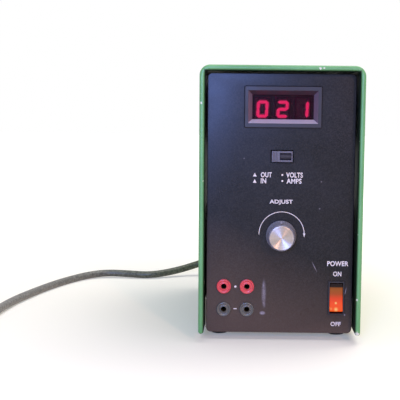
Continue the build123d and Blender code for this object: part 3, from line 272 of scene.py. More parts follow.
def funnel_painted_light_and_shade():
    """The meter's sloping walls: dark smooth ABS, with painted light on the faces that look up and painted
    shade on those that look down.
    """
    material, tree, surface, _ = new_material("ABS moulded grey, painted light and shade")
    normal = add(tree, "ShaderNodeNewGeometry").outputs["Normal"]
    upward = add(tree, "ShaderNodeSeparateXYZ", Vector=normal).outputs[2]
    # Painted light and shade: faces that look up are lightened, faces that look down darkened.
    dust_and_painted_light = add(tree, "ShaderNodeMapRange", Value=upward, From_Min=-0.6, From_Max=0.6)
    grey = add(tree, "ShaderNodeValToRGB", Fac=dust_and_painted_light,
               stops=[(0.1, "#3C2F38"), (0.5, "#6C5E6A"), (0.9, "#B6AEB9")])
    fill(tree, surface, Base_Color=grey, Roughness=0.35, IOR=1.5, Specular_IOR_Level=0.35)
    return material


def glowing(name, colour, strength):
    """An evenly glowing face: a digit's lit epoxy segment, a neon lamp's glass, or a painted glow on a part
    that is no lamp.
    """
    material, tree, surface, _ = new_material(name)
    fill(tree, surface, Base_Color=srgb("#3A0A18"), Roughness=0.4, Emission_Color=srgb(colour),
         Emission_Strength=strength)
    return material


# The rocker's painted glow from its foot to its top, between two heights, with painted shade at its top
# under the housing's rim, and its brightest spots, painted hot spots: x, z, size and strength
ROCKER_GLOW_Z = (24.0, 48.0)
ROCKER_PAINTED_GLOW = [(0.0, "#F55A12"), (0.16, "#F2500F"), (0.33, "#F24C0C"), (0.49, "#E2400A"), (0.655, "#A84A16"),
               (0.80, "#985016"), (0.87, "#8A4A18"), (0.90, "#0C0504"), (1.0, "#060303")]
ROCKER_PAINTED_HOT_SPOTS = [(46.6, 32.5, 1.5, 1.3), (46.6, 27.6, 2.6, 1.4), (42.6, 28.0, 1.8, 0.5)]


def lit_rocker():
    """Clear amber polycarbonate over a neon lamp, the lamp's light painted into it: bright orange by the
    lamp, dull brown in painted shade higher up, and near-black at its top, a painted shadow under the
    housing's rim.
    """
    material, tree, surface, place = new_material("Polycarbonate, amber, painted glow from inside")
    height = add(tree, "ShaderNodeSeparateXYZ", Vector=place).outputs[2]
    low, high = ROCKER_GLOW_Z
    level = add(tree, "ShaderNodeMapRange", Value=height, From_Min=mm(low), From_Max=mm(high))
    # Painted glow from the neon lamp, with painted shade at the top where the housing's rim shadows it.
    glow = add(tree, "ShaderNodeValToRGB", Fac=level, stops=ROCKER_PAINTED_GLOW)
    # Painted hot spots where the lamp shines through.
    for x, z, size, strength in ROCKER_PAINTED_HOT_SPOTS:
        spot = add(tree, "ShaderNodeMapping", Vector=place, vector_type="TEXTURE",
                   Location=mm(x, PANEL_Y - 1.2, z), Scale=mm(size, 12.0, size))
        fade = add(tree, "ShaderNodeTexGradient", Vector=spot, gradient_type="QUADRATIC_SPHERE")
        fade = add(tree, "ShaderNodeMath", {0: fade, 1: strength}, operation="MULTIPLY", use_clamp=True)
        glow = add(tree, "ShaderNodeMix", {0: fade, 6: glow, 7: srgb("#FFE48C")}, data_type="RGBA").outputs[2]
    ripple = add(tree, "ShaderNodeTexNoise", Vector=place, Scale=lumps(1.4))
    fill(tree, surface, Base_Color=srgb("#180903"), Roughness=0.3, IOR=1.58, Specular_IOR_Level=0.12,
         Emission_Color=glow, Emission_Strength=0.95,
         Normal=add(tree, "ShaderNodeBump", Height=ripple, Strength=0.1, Distance=mm(0.05)))
    return material


def print_ink():
    """Screen-printed white ink: matt, and greyed in specks where it has worn thin."""
    material, tree, surface, place = new_material("Ink, screen-printed white")
    wear = add(tree, "ShaderNodeTexNoise", Vector=place, Scale=lumps(0.7), Detail=4.0)
    white = add(tree, "ShaderNodeValToRGB", Fac=wear, stops=[(0.3, "#B4B0AA"), (0.55, "#E0DCD3")])
    fill(tree, surface, Base_Color=white, Roughness=0.6, IOR=1.5)
    return material


def cord_jacket():
    """PVC cord jacket, extruded: satin grey with a greenish mottle, with painted shade and light: darker near
    the unit, paler and greyer away from it.
    """
    material, tree, surface, place = new_material("PVC cord jacket, extruded")
    mottle = add(tree, "ShaderNodeTexNoise", Vector=place, Scale=lumps(2.4), Detail=4.0)
    near = add(tree, "ShaderNodeValToRGB", Fac=mottle, stops=[(0.32, "#222912"), (0.68, "#525B3C")])
    far = add(tree, "ShaderNodeValToRGB", Fac=mottle, stops=[(0.32, "#54534E"), (0.68, "#817F79")])
    # Painted shade and light: the lead is darker near the unit and paler towards its far end.
    along = add(tree, "ShaderNodeSeparateXYZ", Vector=place).outputs[0]
    away = add(tree, "ShaderNodeMapRange", Value=along, From_Min=mm(-90.0), From_Max=mm(-260.0))
    colour = add(tree, "ShaderNodeMix", {0: away, 6: near, 7: far}, data_type="RGBA")
    fine = add(tree, "ShaderNodeTexNoise", Vector=place, Scale=lumps(0.6))
    fill(tree, surface, Base_Color=colour.outputs[2], Roughness=0.38, IOR=1.52, Specular_IOR_Level=0.4,
         Normal=add(tree, "ShaderNodeBump", Height=fine, Strength=0.15, Distance=mm(0.05)))
    return material


# Moulded plastics: satin, with highlights broken up by the mould's grain, and glossier on knob and jacks
BLACK = moulded("ABS moulded black", "#232227", 0.40)
CHARCOAL = moulded("ABS moulded charcoal", "#5A5A62", 0.38)
DRUM_BLACK = moulded("ABS moulded black, matt", "#2C2C31", 0.6)
KNOB_BLACK = moulded("Phenolic moulded black", "#84848E", 0.30, 0.5, 0.12, 0.5)
GREY = moulded("Polycarbonate moulded dark grey", "#3C141F", 0.5)
FUNNEL = funnel_painted_light_and_shade()
RED = moulded("Nylon moulded red", "#CC4248", 0.28, gloss=0.5)
JACK_BLACK = moulded("Nylon moulded black", "#55554F", 0.24, gloss=0.5)
RUBBER = moulded("Rubber moulded black", "#1E1E1E", 0.75, 0.8, 0.3)
GREEN_FLAG = moulded("ABS moulded green", "#2E8B4E", 0.4)
TERMINAL_GREEN = moulded("Polyamide moulded green", "#2F7A46", 0.4)
BOARD = moulded("Epoxy board, green mask", "#1F5B3A", 0.35)
SLEEVE = moulded("PVC sleeve, blue, shrunk", "#26355F", 0.35)

# Metals: bright where plated or drawn, dull where they have tarnished
STEEL = metal("Steel, zinc-plated", "#B4B2AB", 0.38)
BRASS = metal("Brass, turned", "#B7975A", 0.3)
ALUMINIUM = metal("Aluminium, drawn", "#BDBDC0", 0.35)
NICKEL = metal("Brass, nickel-plated", "#B9B5AC", 0.25)
TARNISHED = metal("Brass, turned and tarnished", "#4A3D28", 0.45)
COPPER = metal("Copper wire, enamelled", "#A5542F", 0.4, 1.2)
IRON = metal("Silicon steel, laminated and varnished", "#4B4A50", 0.5)
SPUN = spun_aluminium()

# Paints, what is lit, printing and the cord
PANEL_PAINT = panel_paint()
COVER_ENAMEL = cover_enamel()
FILTER = dark_filter()
GLASS = glowing("Glass tube, neon-lit", "#FF7A2A", 0.6)
LIT = glowing("Epoxy segment, lit red", "#FF2468", 2.8)
# Painted glows: two halos round the lit segments and a faint glow on the unlit ones, none of them a lamp.
HALO = glowing("Painted glow round a lit segment", "#C0104A", 1.3)
FAINT_HALO = glowing("Painted glow further from a lit segment", "#7A0A30", 1.3)
UNLIT = glowing("Epoxy segment, unlit, with a faint painted glow", "#5A1226", 0.4)
ROCKER_AMBER = lit_rocker()
INK = print_ink()
JACKET = cord_jacket()


# Pieces

def dress(node, material):
    """Gives a CAD node a finish."""
    piece = cad[node]
    piece.data.materials.clear()
    piece.data.materials.append(material)


def body_of(node):
    """The body that a CAD node belongs to."""
    return next(name for name, members in frame["record"]["behaviour"]["bodies"].items() if node in members)


def slot_of(node):
    """The material slot that the record gives a CAD node."""
    return next(part["material_slot"] for part in frame["record"]["subparts"] if part["node"] == node)


def stand(name, data):
    """A new object in the scene, at the origin."""
    made = bpy.data.objects.new(name, data)
    bpy.context.scene.collection.objects.link(made)
    return made


def as_piece(name, mesh, material, node=None, body="case", slot=None):
    """Links a mesh as a piece at the origin; with a node, it stands for that node and rides on its body."""
    piece = stand(name, mesh)
    mesh.materials.clear()
    mesh.materials.append(material)
    if node:
        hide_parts(node)
        body, slot = body_of(node), slot_of(node)
    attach(piece, body)
    return piece


def as_mesh(shape, name):
    """The mesh of a built shape."""
    mesh = bpy.data.meshes.new(name)
    shape.to_mesh(mesh)
    shape.free()
    return mesh


def realised(piece):
    """An object's finished mesh, with its modifiers or its letters worked in; the object itself goes."""
    view = bpy.context.evaluated_depsgraph_get()
    mesh = bpy.data.meshes.new_from_object(piece.evaluated_get(view))
    bpy.data.objects.remove(piece)
    return mesh


def shade(mesh, angle):
    """Shades a mesh smooth, apart from edges that turn by more than an angle in degrees."""
    mesh.shade_smooth()
    mesh.set_sharp_from_angle(angle=math.radians(angle))


def refine(node, material, edge_mm=0.0, smooth=32.0):
    """A copy of a CAD node with its triangles merged, its edges softened and its round faces smooth."""
    name = "fine_" + node
    shape = bmesh.new()
    shape.from_mesh(cad[node].data)
    bmesh.ops.remove_doubles(shape, verts=shape.verts, dist=mm(MERGE))
    bmesh.ops.dissolve_limit(shape, angle_limit=math.radians(0.8), verts=shape.verts, edges=shape.edges)
    mesh = as_mesh(shape, name)
    if edge_mm:
        piece = stand(name, mesh)
        soften = piece.modifiers.new("soften", "BEVEL")
        soften.width = mm(edge_mm)
        soften.segments = 3
        soften.limit_method = "ANGLE"
        soften.angle_limit = math.radians(smooth)
        soften.use_clamp_overlap = True
        mesh = realised(piece)
    shade(mesh, smooth)
    if edge_mm:
        # The softened edges take up the turn of the shading, so that the flat faces beside them stay even.
        piece = stand(name, mesh)
        piece.modifiers.new("even", "WEIGHTED_NORMAL").keep_sharp = True
        mesh = realised(piece)
    return as_piece(name, mesh, material, node=node)


# The mains cord

# Where the lead leaves the strain relief, and the middle of the coil's lower layer
GLAND = (-32.0, 128.7, 34.0)
COIL_X, COIL_Y, COIL_Z = -306.0, -60.0, 5.15
# The coil winds in, climbs to its upper layer and winds out; its last stretch then swings out to the plug
COIL_TURNS, COIL_RADIUS, COIL_PITCH, CLIMB_TURN, LAYER_GAP = 2.5, 50.0, 8.4, 0.5, 0.5
COIL_END_TURN, COIL_END_REACH = 0.5, 20.0
# Points of the spline to a turn
COIL_STEPS = 16
LEAD = [
    GLAND, (-32, 148.7, 34), (-41, 169, 30), (-58, 183, 23), (-82, 186.5, 14), (-108, 177, 7), (-136, 162, 4),
    (-165, 166, 5), (-188, 166.5, 5.5), (-206, 156, 4.5), (-218.5, 137, 4), (-230, 110, 4), (-239.5, 80, 4),
    (-247, 48, 4.2), (-253, 14, 4.8), (-256, -22, COIL_Z), (-256, -52.2, COIL_Z),
]


def coil_point(turn):
    """The coil's centre line after a number of turns, as in the part's source."""
    total = 2 * COIL_TURNS + CLIMB_TURN
    layer = CORD_DIAMETER + LAYER_GAP
    inner = COIL_RADIUS - COIL_PITCH * COIL_TURNS
    if turn <= COIL_TURNS:
        radius, rise = COIL_RADIUS - COIL_PITCH * turn, 0.0
    elif turn <= COIL_TURNS + CLIMB_TURN:
        share = (turn - COIL_TURNS) / CLIMB_TURN
        radius = inner - COIL_PITCH * CLIMB_TURN * math.sin(math.pi * share) / math.pi
        rise = layer * (1 - math.cos(math.pi * share)) / 2
    else:
        radius, rise = inner + COIL_PITCH * (turn - COIL_TURNS - CLIMB_TURN), layer
    late = max(0.0, turn - (total - COIL_END_TURN)) / COIL_END_TURN
    radius += COIL_END_REACH * late * late
    angle = -2 * math.pi * turn
    return Vector((COIL_X + radius * math.cos(angle), COIL_Y + radius * math.sin(angle), COIL_Z + rise))


def make_cord():
    """One smooth tube through the lead's points and the coil's turns, to the plug."""
    total = 2 * COIL_TURNS + CLIMB_TURN
    count = round(total * COIL_STEPS)
    # The spline cuts inside a turn's control points, so they lie a little outside the turn.
    outward = 1 / math.cos(math.pi / COIL_STEPS)
    centre = Vector((COIL_X, COIL_Y, 0))
    points = [Vector(p) for p in LEAD]
    for i in range(1, count + 1):
        p = coil_point(total * i / count)
        flat = Vector((p.x, p.y, 0)) - centre
        points.append(centre + flat * outward + Vector((0, 0, p.z)))
    tip = coil_point(total)
    points[-1] = tip
    points.append(tip + (tip - coil_point(total - 0.001)).normalized() * CORD_DIAMETER)
    curve = bpy.data.curves.new("mains_cord", "CURVE")
    curve.dimensions = "3D"
    spline = curve.splines.new("NURBS")
    spline.points.add(len(points) - 1)
    for place, p in zip(spline.points, points):
        place.co = (*mm(*p), 1.0)
    spline.order_u = 3
    spline.use_endpoint_u = True
    spline.resolution_u = 8
    curve.bevel_depth = mm(CORD_DIAMETER / 2)
    curve.bevel_resolution = 5
    curve.use_fill_caps = True
    piece = stand("mains_cord", curve)
    curve.materials.append(JACKET)
    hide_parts("cord_lead", "cord_coil")
    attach(piece, "case")


# The green cover

# Points along the wall's flat faces, by the turn of the corner that they follow; wear fades out at them
FLAT_YS = {90: (60.0, 0.0, -60.0), 270: (-60.0, 0.0, 60.0)}


def cover_path(steps=14):
    """Points along the middle of the wall, from the left tip over the top to the right, each with its outward
    direction and how far the rounded tip has grown to the wall's full thickness."""
    half = COVER_WIDTH / 2 - COVER_WALL / 2
    top = COVER_TOP - COVER_WALL / 2
    radius = COVER_CORNER - COVER_WALL / 2
    path = []
    for share in [COVER_EDGE_ROUND * (1 - math.cos(math.pi / 2 * i / 5)) for i in range(6)]:
        path.append(((-half, COVER_BOTTOM + share), (-1, 0), share / COVER_EDGE_ROUND))
    for z in (40, 75, 110, 145, 180):
        path.append(((-half, z), (-1, 0), 1.0))
    for i in range(steps + 1):
        angle = math.pi - math.pi / 2 * i / steps
        out = (math.cos(angle), math.sin(angle))
        path.append(((-half + radius + radius * out[0], top - radius + radius * out[1]), out, 1.0))
    for x in (-30, 0, 30):
        path.append(((x, top), (0, 1), 1.0))
    mirrored = [((-x, z), (-u, w), grown) for (x, z), (u, w), grown in path if x < -0.1]
    return path + mirrored[::-1]


def make_cover():
    """A rounded section, the wall's thickness by the cover's depth, carried along the U; it closes at both
    tips."""
    r = COVER_EDGE_ROUND
    shape = bmesh.new()
    edge = shape.verts.layers.float.new("edge")
    rings = []
    for (x, z), (out_x, out_z), grown in cover_path():
        inset = r * (1 - math.sqrt(max(0.0, 1 - (1 - grown) ** 2)))
        half_wall = COVER_WALL / 2 - inset
        front, back = COVER_FRONT_Y + inset, COVER_BACK_Y - inset
        ring = []
        round_r = max(0.05, min(r - inset * 0.5, half_wall))
        corners = ((1, back - round_r, 0), (-1, back - round_r, 90), (-1, front + round_r, 180),
                   (1, front + round_r, 270))
        for side, y, start in corners:
            for i in range(7):
                a = math.radians(start + 90 * i / 6)
                across = side * (half_wall - round_r) + round_r * math.cos(a)
                along = y + round_r * math.sin(a)
                vert = shape.verts.new(mm(x + out_x * across, along, z + out_z * across))
                vert[edge] = 1.0
                ring.append(vert)
            for y_mid in FLAT_YS.get(start, ()):
                mid = shape.verts.new(mm(x + out_x * side * half_wall, y_mid, z + out_z * side * half_wall))
                mid[edge] = 0.0 if grown == 1.0 else 1.0
                ring.append(mid)
        rings.append(ring)
    for low, high in zip(rings, rings[1:]):
        for i in range(len(low)):
            j = (i + 1) % len(low)
            shape.faces.new((low[i], low[j], high[j], high[i]))
    for ring in (rings[0], rings[-1]):
        shape.faces.new(ring)
    bmesh.ops.remove_doubles(shape, verts=shape.verts, dist=mm(0.005))
    bmesh.ops.recalc_face_normals(shape, faces=shape.faces)
    mesh = as_mesh(shape, "green_cover")
    mesh.shade_smooth()
    as_piece("green_cover", mesh, COVER_ENAMEL, node="cover")


# The meter's digits

# Segments of a digit: middle, as shares of half the width and half the height, and lying or upright
SEGMENTS = {"a": (0, 1, "lying"), "b": (1, 0.5, "upright"), "c": (1, -0.5, "upright"), "d": (0, -1, "lying"),
            "e": (-1, -0.5, "upright"), "f": (-1, 0.5, "upright"), "g": (0, 0, "lying")}
DIGITS = [(-15.6, "abcdef", "digit_left"), (0.8, "abged", "digit_middle"), (17.3, "bc", "digit_right")]
DIGIT_HALF_WIDTH, DIGIT_HALF_HEIGHT, SEGMENT_WIDE, DIGIT_Z, DIGIT_SLANT = 3.5, 5.7, 2.3, 190.5, 0.05
# Depths behind the panel's face: of the segments' front, and of a plane inside the digits
SEGMENT_FRONT, SEGMENT_BACK = 6.01, 6.2


def add_segment(shape, centre_x, kind, spread, reach, back_y):
    """One segment: a long hexagon with pointed ends, leaning as the digit does. It is spread on every side,
    reaches further along its length, and lies further back."""
    at_x, at_z, way = SEGMENTS[kind]
    long_half = (DIGIT_HALF_WIDTH if way == "lying" else DIGIT_HALF_HEIGHT / 2) + reach + spread
    tip = SEGMENT_WIDE / 2 + spread
    outline = [(-long_half, 0), (-long_half + tip, -tip), (long_half - tip, -tip), (long_half, 0),
               (long_half - tip, tip), (-long_half + tip, tip)]
    layers = []
    for y in (PANEL_Y + SEGMENT_FRONT + back_y, PANEL_Y + SEGMENT_BACK):
        ring = []
        for along, across in outline:
            dx, dz = (along, across) if way == "lying" else (-across, along)
            x, z = at_x * DIGIT_HALF_WIDTH + dx, at_z * DIGIT_HALF_HEIGHT + dz
            ring.append(shape.verts.new(mm(centre_x + x + DIGIT_SLANT * z, y, DIGIT_Z + z)))
        layers.append(ring)
    front, back = layers
    shape.faces.new(front)
    shape.faces.new(back[::-1])
    for i in range(6):
        j = (i + 1) % 6
        shape.faces.new((front[i], back[i], back[j], front[j]))


def make_digits():
    """Each digit's segments: lit ones in front, then unlit ones with a faint painted glow, and two painted
    glows round the lit ones.
    """
    for centre_x, lit, node in DIGITS:
        unlit = [kind for kind in SEGMENTS if kind not in lit]
        for kinds, material, name, spread, reach, back_y in (
                (lit, LIT, "lit", 0.0, 0.6, 0.0), (unlit, UNLIT, "unlit", 0.0, -0.1, 0.01),
                (lit, HALO, "halo", 0.45, 0.6, 0.015), (lit, FAINT_HALO, "faint_halo", 1.0, 0.6, 0.025)):
            shape = bmesh.new()
            for kind in kinds:
                add_segment(shape, centre_x, kind, spread, reach, back_y)
            bmesh.ops.recalc_face_normals(shape, faces=shape.faces)
            piece_name = f"{node}_{name}"
            as_piece(piece_name, as_mesh(shape, piece_name), material, slot="red_filter")


# Printing on the panel

# Words with the box that each fills: left, right, low, high
WORDS = [
    ("OUT", -16.3, -7.3, 135.2, 139.4), ("VOLTS", 4.3, 17.9, 135.2, 139.4),
    ("IN", -16.3, -11.9, 130.3, 134.4), ("AMPS", 4.7, 16.9, 130.3, 134.4),
    ("ADJUST", -8.9, 10.1, 112.9, 117.1), ("POWER", 39.1, 56.6, 62.8, 66.9),
    ("ON", 44.1, 50.9, 54.3, 58.3), ("OFF", 42.8, 51.3, 12.6, 16.2),
]
DOTS = [(1.2, 137.3, 0.75), (1.3, 132.4, 0.75), (-36.1, 44.7, 0.95)]
TRIANGLES = [(-21.2, 137.3, 1.5), (-21.2, 132.2, 1.5)]
DASHES = [(-36.2, 26.2, 2.6, 0.8)]
ARC_X, ARC_Z, ARC_RADIUS, ARC_WIDE = 1.3, 88.6, 18.5, 0.55
PRINT_Y, PRINT_THICK = PANEL_Y, 0.04


def printed(shape, outline):
    """A flat printed figure from its outline (x, z), proud of the panel by the ink's thickness."""
    ring = [shape.verts.new(mm(x, PRINT_Y - PRINT_THICK, z)) for x, z in outline]
    shape.faces.new(ring)


def add_word(shape, words, left, right, low, high):
    """Words in a bold sans serif, stretched to the box that they fill."""
    curve = bpy.data.curves.new("word", "FONT")
    curve.body = words
    curve.size = 1.0
    curve.offset = 0.026
    curve.space_character = 1.04
    curve.resolution_u = 4
    mesh = realised(stand("word", curve))
    spots = [v.co.copy() for v in mesh.vertices]
    x0, x1 = min(c.x for c in spots), max(c.x for c in spots)
    z0, z1 = min(c.y for c in spots), max(c.y for c in spots)
    verts = [shape.verts.new(mm(left + (c.x - x0) / (x1 - x0) * (right - left), PRINT_Y - PRINT_THICK,
                                low + (c.y - z0) / (z1 - z0) * (high - low))) for c in spots]
    for face in mesh.polygons:
        shape.faces.new([verts[i] for i in face.vertices])
    bpy.data.meshes.remove(mesh)


def make_printing():
    """All the printing on the panel, as one piece that faces forward."""
    shape = bmesh.new()
    for word in WORDS:
        add_word(shape, *word)
    for x, z, radius in DOTS:
        printed(shape, [(x + radius * math.cos(math.tau * i / 20), z + radius * math.sin(math.tau * i / 20))
                        for i in range(20)])
    for x, z, half in TRIANGLES:
        printed(shape, [(x - half, z - half), (x + half, z - half), (x, z + half)])
    for x, z, width, height in DASHES:
        printed(shape, [(x - width / 2, z - height / 2), (x + width / 2, z - height / 2),
                        (x + width / 2, z + height / 2), (x - width / 2, z + height / 2)])
    steps = 48
    band = []
    for i in range(steps + 1):
        angle = math.radians(181 - 178 * i / steps)
        band.append([shape.verts.new(mm(ARC_X + r * math.cos(angle), PRINT_Y - PRINT_THICK,
                                        ARC_Z + r * math.sin(angle)))
                     for r in (ARC_RADIUS - ARC_WIDE / 2, ARC_RADIUS + ARC_WIDE / 2)])
    for low, high in zip(band, band[1:]):
        shape.faces.new((low[0], low[1], high[1], high[0]))
    printed(shape, [(ARC_X + ARC_RADIUS - 1.0, ARC_Z + 1.0), (ARC_X + ARC_RADIUS + 1.0, ARC_Z + 1.0),
                    (ARC_X + ARC_RADIUS, ARC_Z - 2.4)])
    for face in shape.faces:
        face.normal_update()
        if face.normal.y > 0:
            face.normal_flip()
    as_piece("panel_printing", as_mesh(shape, "panel_printing"), INK, slot="black_panel")


# Turned pieces

def lathe(name, profile, x, z, steps=96):
    """A mesh turned about an axis along Y, from (radius, y) points; it closes at a radius of 0, or back at
    its start."""
    closed = profile[0] == profile[-1]
    turns = [(math.cos(math.tau * i / steps), math.sin(math.tau * i / steps)) for i in range(steps)]
    shape = bmesh.new()
    rings = []
    for radius, y in profile[:-1] if closed else profile:
        spots = [(x + radius * u, y, z + radius * w) for u, w in turns] if radius else [(x, y, z)]
        rings.append([shape.verts.new(mm(*spot)) for spot in spots])
    if closed:
        rings.append(rings[0])
    for low, high in zip(rings, rings[1:]):
        for i in range(steps):
            j = (i + 1) % steps
            corners = [low[i % len(low)], low[j % len(low)], high[j % len(high)], high[i % len(high)]]
            shape.faces.new(list(dict.fromkeys(corners)))
    bmesh.ops.recalc_face_normals(shape, faces=shape.faces)
    mesh = as_mesh(shape, name)
    shade(mesh, 40)
    return mesh


def make_knob_cap():
    """A thin pressed disc with a polished raised rim round its spun face."""
    front = KNOB_FRONT_Y - 0.3
    profile = [(0, front + 0.2), (8.7, front + 0.2), (8.95, front + 0.02), (9.4, front), (9.72, front + 0.1),
               (9.8, front + 0.3), (9.8, front + 1.0), (0, front + 1.0)]
    as_piece("spun_disc", lathe("spun_disc", profile, COLUMN_X, KNOB_Z), SPUN, node="knob_cap")


# A jack's insulator as (radius, depth behind its front): hole, collar, bowl, rim, flange, body and bore
JACK_PROFILE = [
    (2.3, 2.6), (2.3, 0.42), (2.45, 0.24), (2.75, 0.2), (3.05, 0.28), (3.35, 0.62), (3.9, 0.78), (4.45, 0.6),
    (4.75, 0.22), (5.0, 0.04), (5.25, 0.0), (5.55, 0.1), (5.8, 0.38), (5.95, 0.85), (5.95, 2.2), (3.95, 2.2),
    (3.95, 24.0), (2.82, 24.0), (2.82, 2.6), (2.3, 2.6),
]
JACK_PROUD = 2.2


def make_jacks():
    """Jack insulators: a rounded rim, a shallow bowl and a small collar round the plug's hole."""
    front = PANEL_Y - JACK_PROUD
    for node, material in (("jack_red_left", RED), ("jack_red_right", RED), ("jack_black_left", JACK_BLACK),
                           ("jack_black_right", JACK_BLACK)):
        low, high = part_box(node)
        x, z = (low.x + high.x) * 500, (low.z + high.z) * 500
        profile = [(radius, front + y) for radius, y in JACK_PROFILE]
        as_piece("turned_" + node, lathe(node, profile, x, z, 64), material, node=node)


# What repeats: fasteners, laminations and windings

def new_tree(name, sizes):
    """An empty Geometry Nodes tree; sizes are its named inputs as (name, kind, value)."""
    tree = bpy.data.node_groups.new(name, "GeometryNodeTree")
    for label, kind, value in [("Geometry", "Geometry", None)] + sizes:
        socket = tree.interface.new_socket(label, in_out="INPUT", socket_type="NodeSocket" + kind)
        if value is not None:
            socket.default_value = value
    tree.interface.new_socket("Geometry", in_out="OUTPUT", socket_type="NodeSocketGeometry")
    return tree, add(tree, "NodeGroupInput").outputs


def finish_tree(tree, geometry, material):
    """The tree's end: real geometry with its finish."""
    real = add(tree, "GeometryNodeRealizeInstances", Geometry=geometry)
    dressed = add(tree, "GeometryNodeSetMaterial", Geometry=real, Material=material)
    add(tree, "NodeGroupOutput", Geometry=dressed)


def grow(name, tree, places, values, material, node=None, slot=None):
    """Runs a tree on a mesh of places (and outward directions) and keeps the result as a plain mesh piece."""
    mesh = bpy.data.meshes.new(name)
    mesh.from_pydata([mm(*spot) for spot, _ in places], [], [])
    outward = mesh.attributes.new("outward", "FLOAT_VECTOR", "POINT")
    for i, (_, direction) in enumerate(places):
        outward.data[i].vector = direction
    piece = stand(name, mesh)
    nodes = piece.modifiers.new("nodes", "NODES")
    nodes.node_group = tree
    for socket in tree.interface.items_tree:
        if socket.in_out == "INPUT" and socket.name in values:
            nodes[socket.identifier] = values[socket.name]
    shape = bmesh.new()
    shape.from_mesh(realised(piece))
    bmesh.ops.remove_doubles(shape, verts=shape.verts, dist=mm(MERGE))
    bmesh.ops.recalc_face_normals(shape, faces=shape.faces)
    mesh = as_mesh(shape, name)
    shade(mesh, 35)
    return as_piece(name, mesh, material, node=node, slot=slot)


# Screw groups: node, places with outward directions, and head radius, head height, shank radius, shank length
SCREWS = [
    ("cover_screws", [((sx * 66.0, y, 22.3), (sx, 0, 0)) for sx in (-1, 1) for y in (-68.3, 71.7)],
     (3.8, 2.2, 2.0, 8.7)),
    ("foot_screws", [((x, y, 4.4), (0, 0, -1)) for x in (-50.0, 50.0) for y in (-72.8, 75.2)],
     (3.2, 2.0, 1.7, 7.6)),
    ("transformer_screws", [((x, y, 11.0), (0, 0, 1)) for x in (-43.8, 43.8) for y in (13.0, 55.0)],
     (4.0, 2.4, 2.2, 3.0)),
    ("board_screws", [((x, y, 19.1), (0, 0, 1)) for x in (-38.0, 38.0) for y in (-74.0, -14.0)],
     (2.8, 1.8, 1.45, 6.6)),
    ("display_screws", [((x, -84.5, z), (0, 1, 0)) for x in (-36.4, 38.6) for z in (176.7, 207.7)],
     (2.8, 1.8, 1.45, 6.6)),
]
SCREW_SIZES = ("Head radius", "Head height", "Shank radius", "Shank length")


def screw_tree():
    """Pan-head screws with a cross recess, one at each place, headed outwards."""
    tree, size = new_tree("pan-head screws", [(label, "Float", 0.003) for label in SCREW_SIZES])
    radius, height, shank_radius, length = (size[label] for label in SCREW_SIZES)
    half = add(tree, "ShaderNodeMath", {0: height, 1: 0.5}, operation="MULTIPLY")
    quarter = add(tree, "ShaderNodeMath", {0: height, 1: 0.25}, operation="MULTIPLY")
    top = add(tree, "ShaderNodeMath", {0: radius, 1: 0.62}, operation="MULTIPLY")
    brim = add(tree, "GeometryNodeMeshCylinder", Vertices=32, Radius=radius, Depth=half)
    dome = add(tree, "GeometryNodeMeshCone", Vertices=32, Radius_Top=top, Radius_Bottom=radius, Depth=half)
    deep = add(tree, "ShaderNodeMath", {0: length, 1: -0.5}, operation="MULTIPLY")
    shank = add(tree, "GeometryNodeMeshCylinder", Vertices=20, Radius=shank_radius, Depth=length)
    solid = add(tree, "GeometryNodeMeshBoolean", operation="UNION")
    for part, level in ((brim, quarter), (dome, half), (shank, deep)):
        raised = add(tree, "ShaderNodeCombineXYZ", Z=level)
        fill(tree, solid, {"Mesh 2": add(tree, "GeometryNodeTransform", Geometry=part, Translation=raised)})
    cut = add(tree, "GeometryNodeMeshBoolean", {"Mesh 1": solid}, operation="DIFFERENCE")
    thin = add(tree, "ShaderNodeMath", {0: radius, 1: 0.24}, operation="MULTIPLY")
    head_top = add(tree, "ShaderNodeCombineXYZ", Z=height)
    for wide, narrow in ((radius, thin), (thin, radius)):
        block = add(tree, "ShaderNodeCombineXYZ", X=wide, Y=narrow, Z=height)
        bar = add(tree, "GeometryNodeMeshCube", Size=block)
        fill(tree, cut, {"Mesh 2": add(tree, "GeometryNodeTransform", Geometry=bar, Translation=head_top)})
    outward = add(tree, "GeometryNodeInputNamedAttribute", Name="outward", data_type="FLOAT_VECTOR")
    turn = add(tree, "FunctionNodeAlignRotationToVector", Vector=outward, axis="Z")
    screws = add(tree, "GeometryNodeInstanceOnPoints", Points=size["Geometry"], Instance=cut, Rotation=turn)
    finish_tree(tree, screws, STEEL)
    return tree


def make_screws():
    """Every group of screws, at the places and sizes of its node."""
    tree = screw_tree()
    for node, places, sizes in SCREWS:
        grow("crosshead_" + node, tree, places, dict(zip(SCREW_SIZES, mm(*sizes))), STEEL, node)


def wire_tree():
    """A stack of flat rings: a rectangle with rounded corners carried round and repeated along an axis."""
    tree, size = new_tree("stacked turns", [
        ("Width", "Float", 0.05), ("Depth", "Float", 0.05), ("Corner", "Float", 0.005),
        ("Wire radius", "Float", 0.0005), ("Count", "Int", 10), ("Step", "Vector", (0.0, 0.0, 0.001))])
    outline = add(tree, "GeometryNodeCurvePrimitiveQuadrilateral", Width=size["Width"], Height=size["Depth"])
    outline = add(tree, "GeometryNodeFilletCurve", Curve=outline, Radius=size["Corner"], Count=5, mode="POLY")
    wire = add(tree, "GeometryNodeCurvePrimitiveCircle", Resolution=8, Radius=size["Wire radius"])
    turn = add(tree, "GeometryNodeCurveToMesh", Curve=outline, Profile_Curve=wire)
    rows = add(tree, "GeometryNodeMeshLine", Count=size["Count"], Offset=size["Step"])
    stack = add(tree, "GeometryNodeInstanceOnPoints", Points=rows, Instance=turn)
    stack = add(tree, "GeometryNodeRealizeInstances", Geometry=stack)
    placed = add(tree, "GeometryNodeInstanceOnPoints", Points=size["Geometry"], Instance=stack)
    finish_tree(tree, placed, COPPER)
    return tree


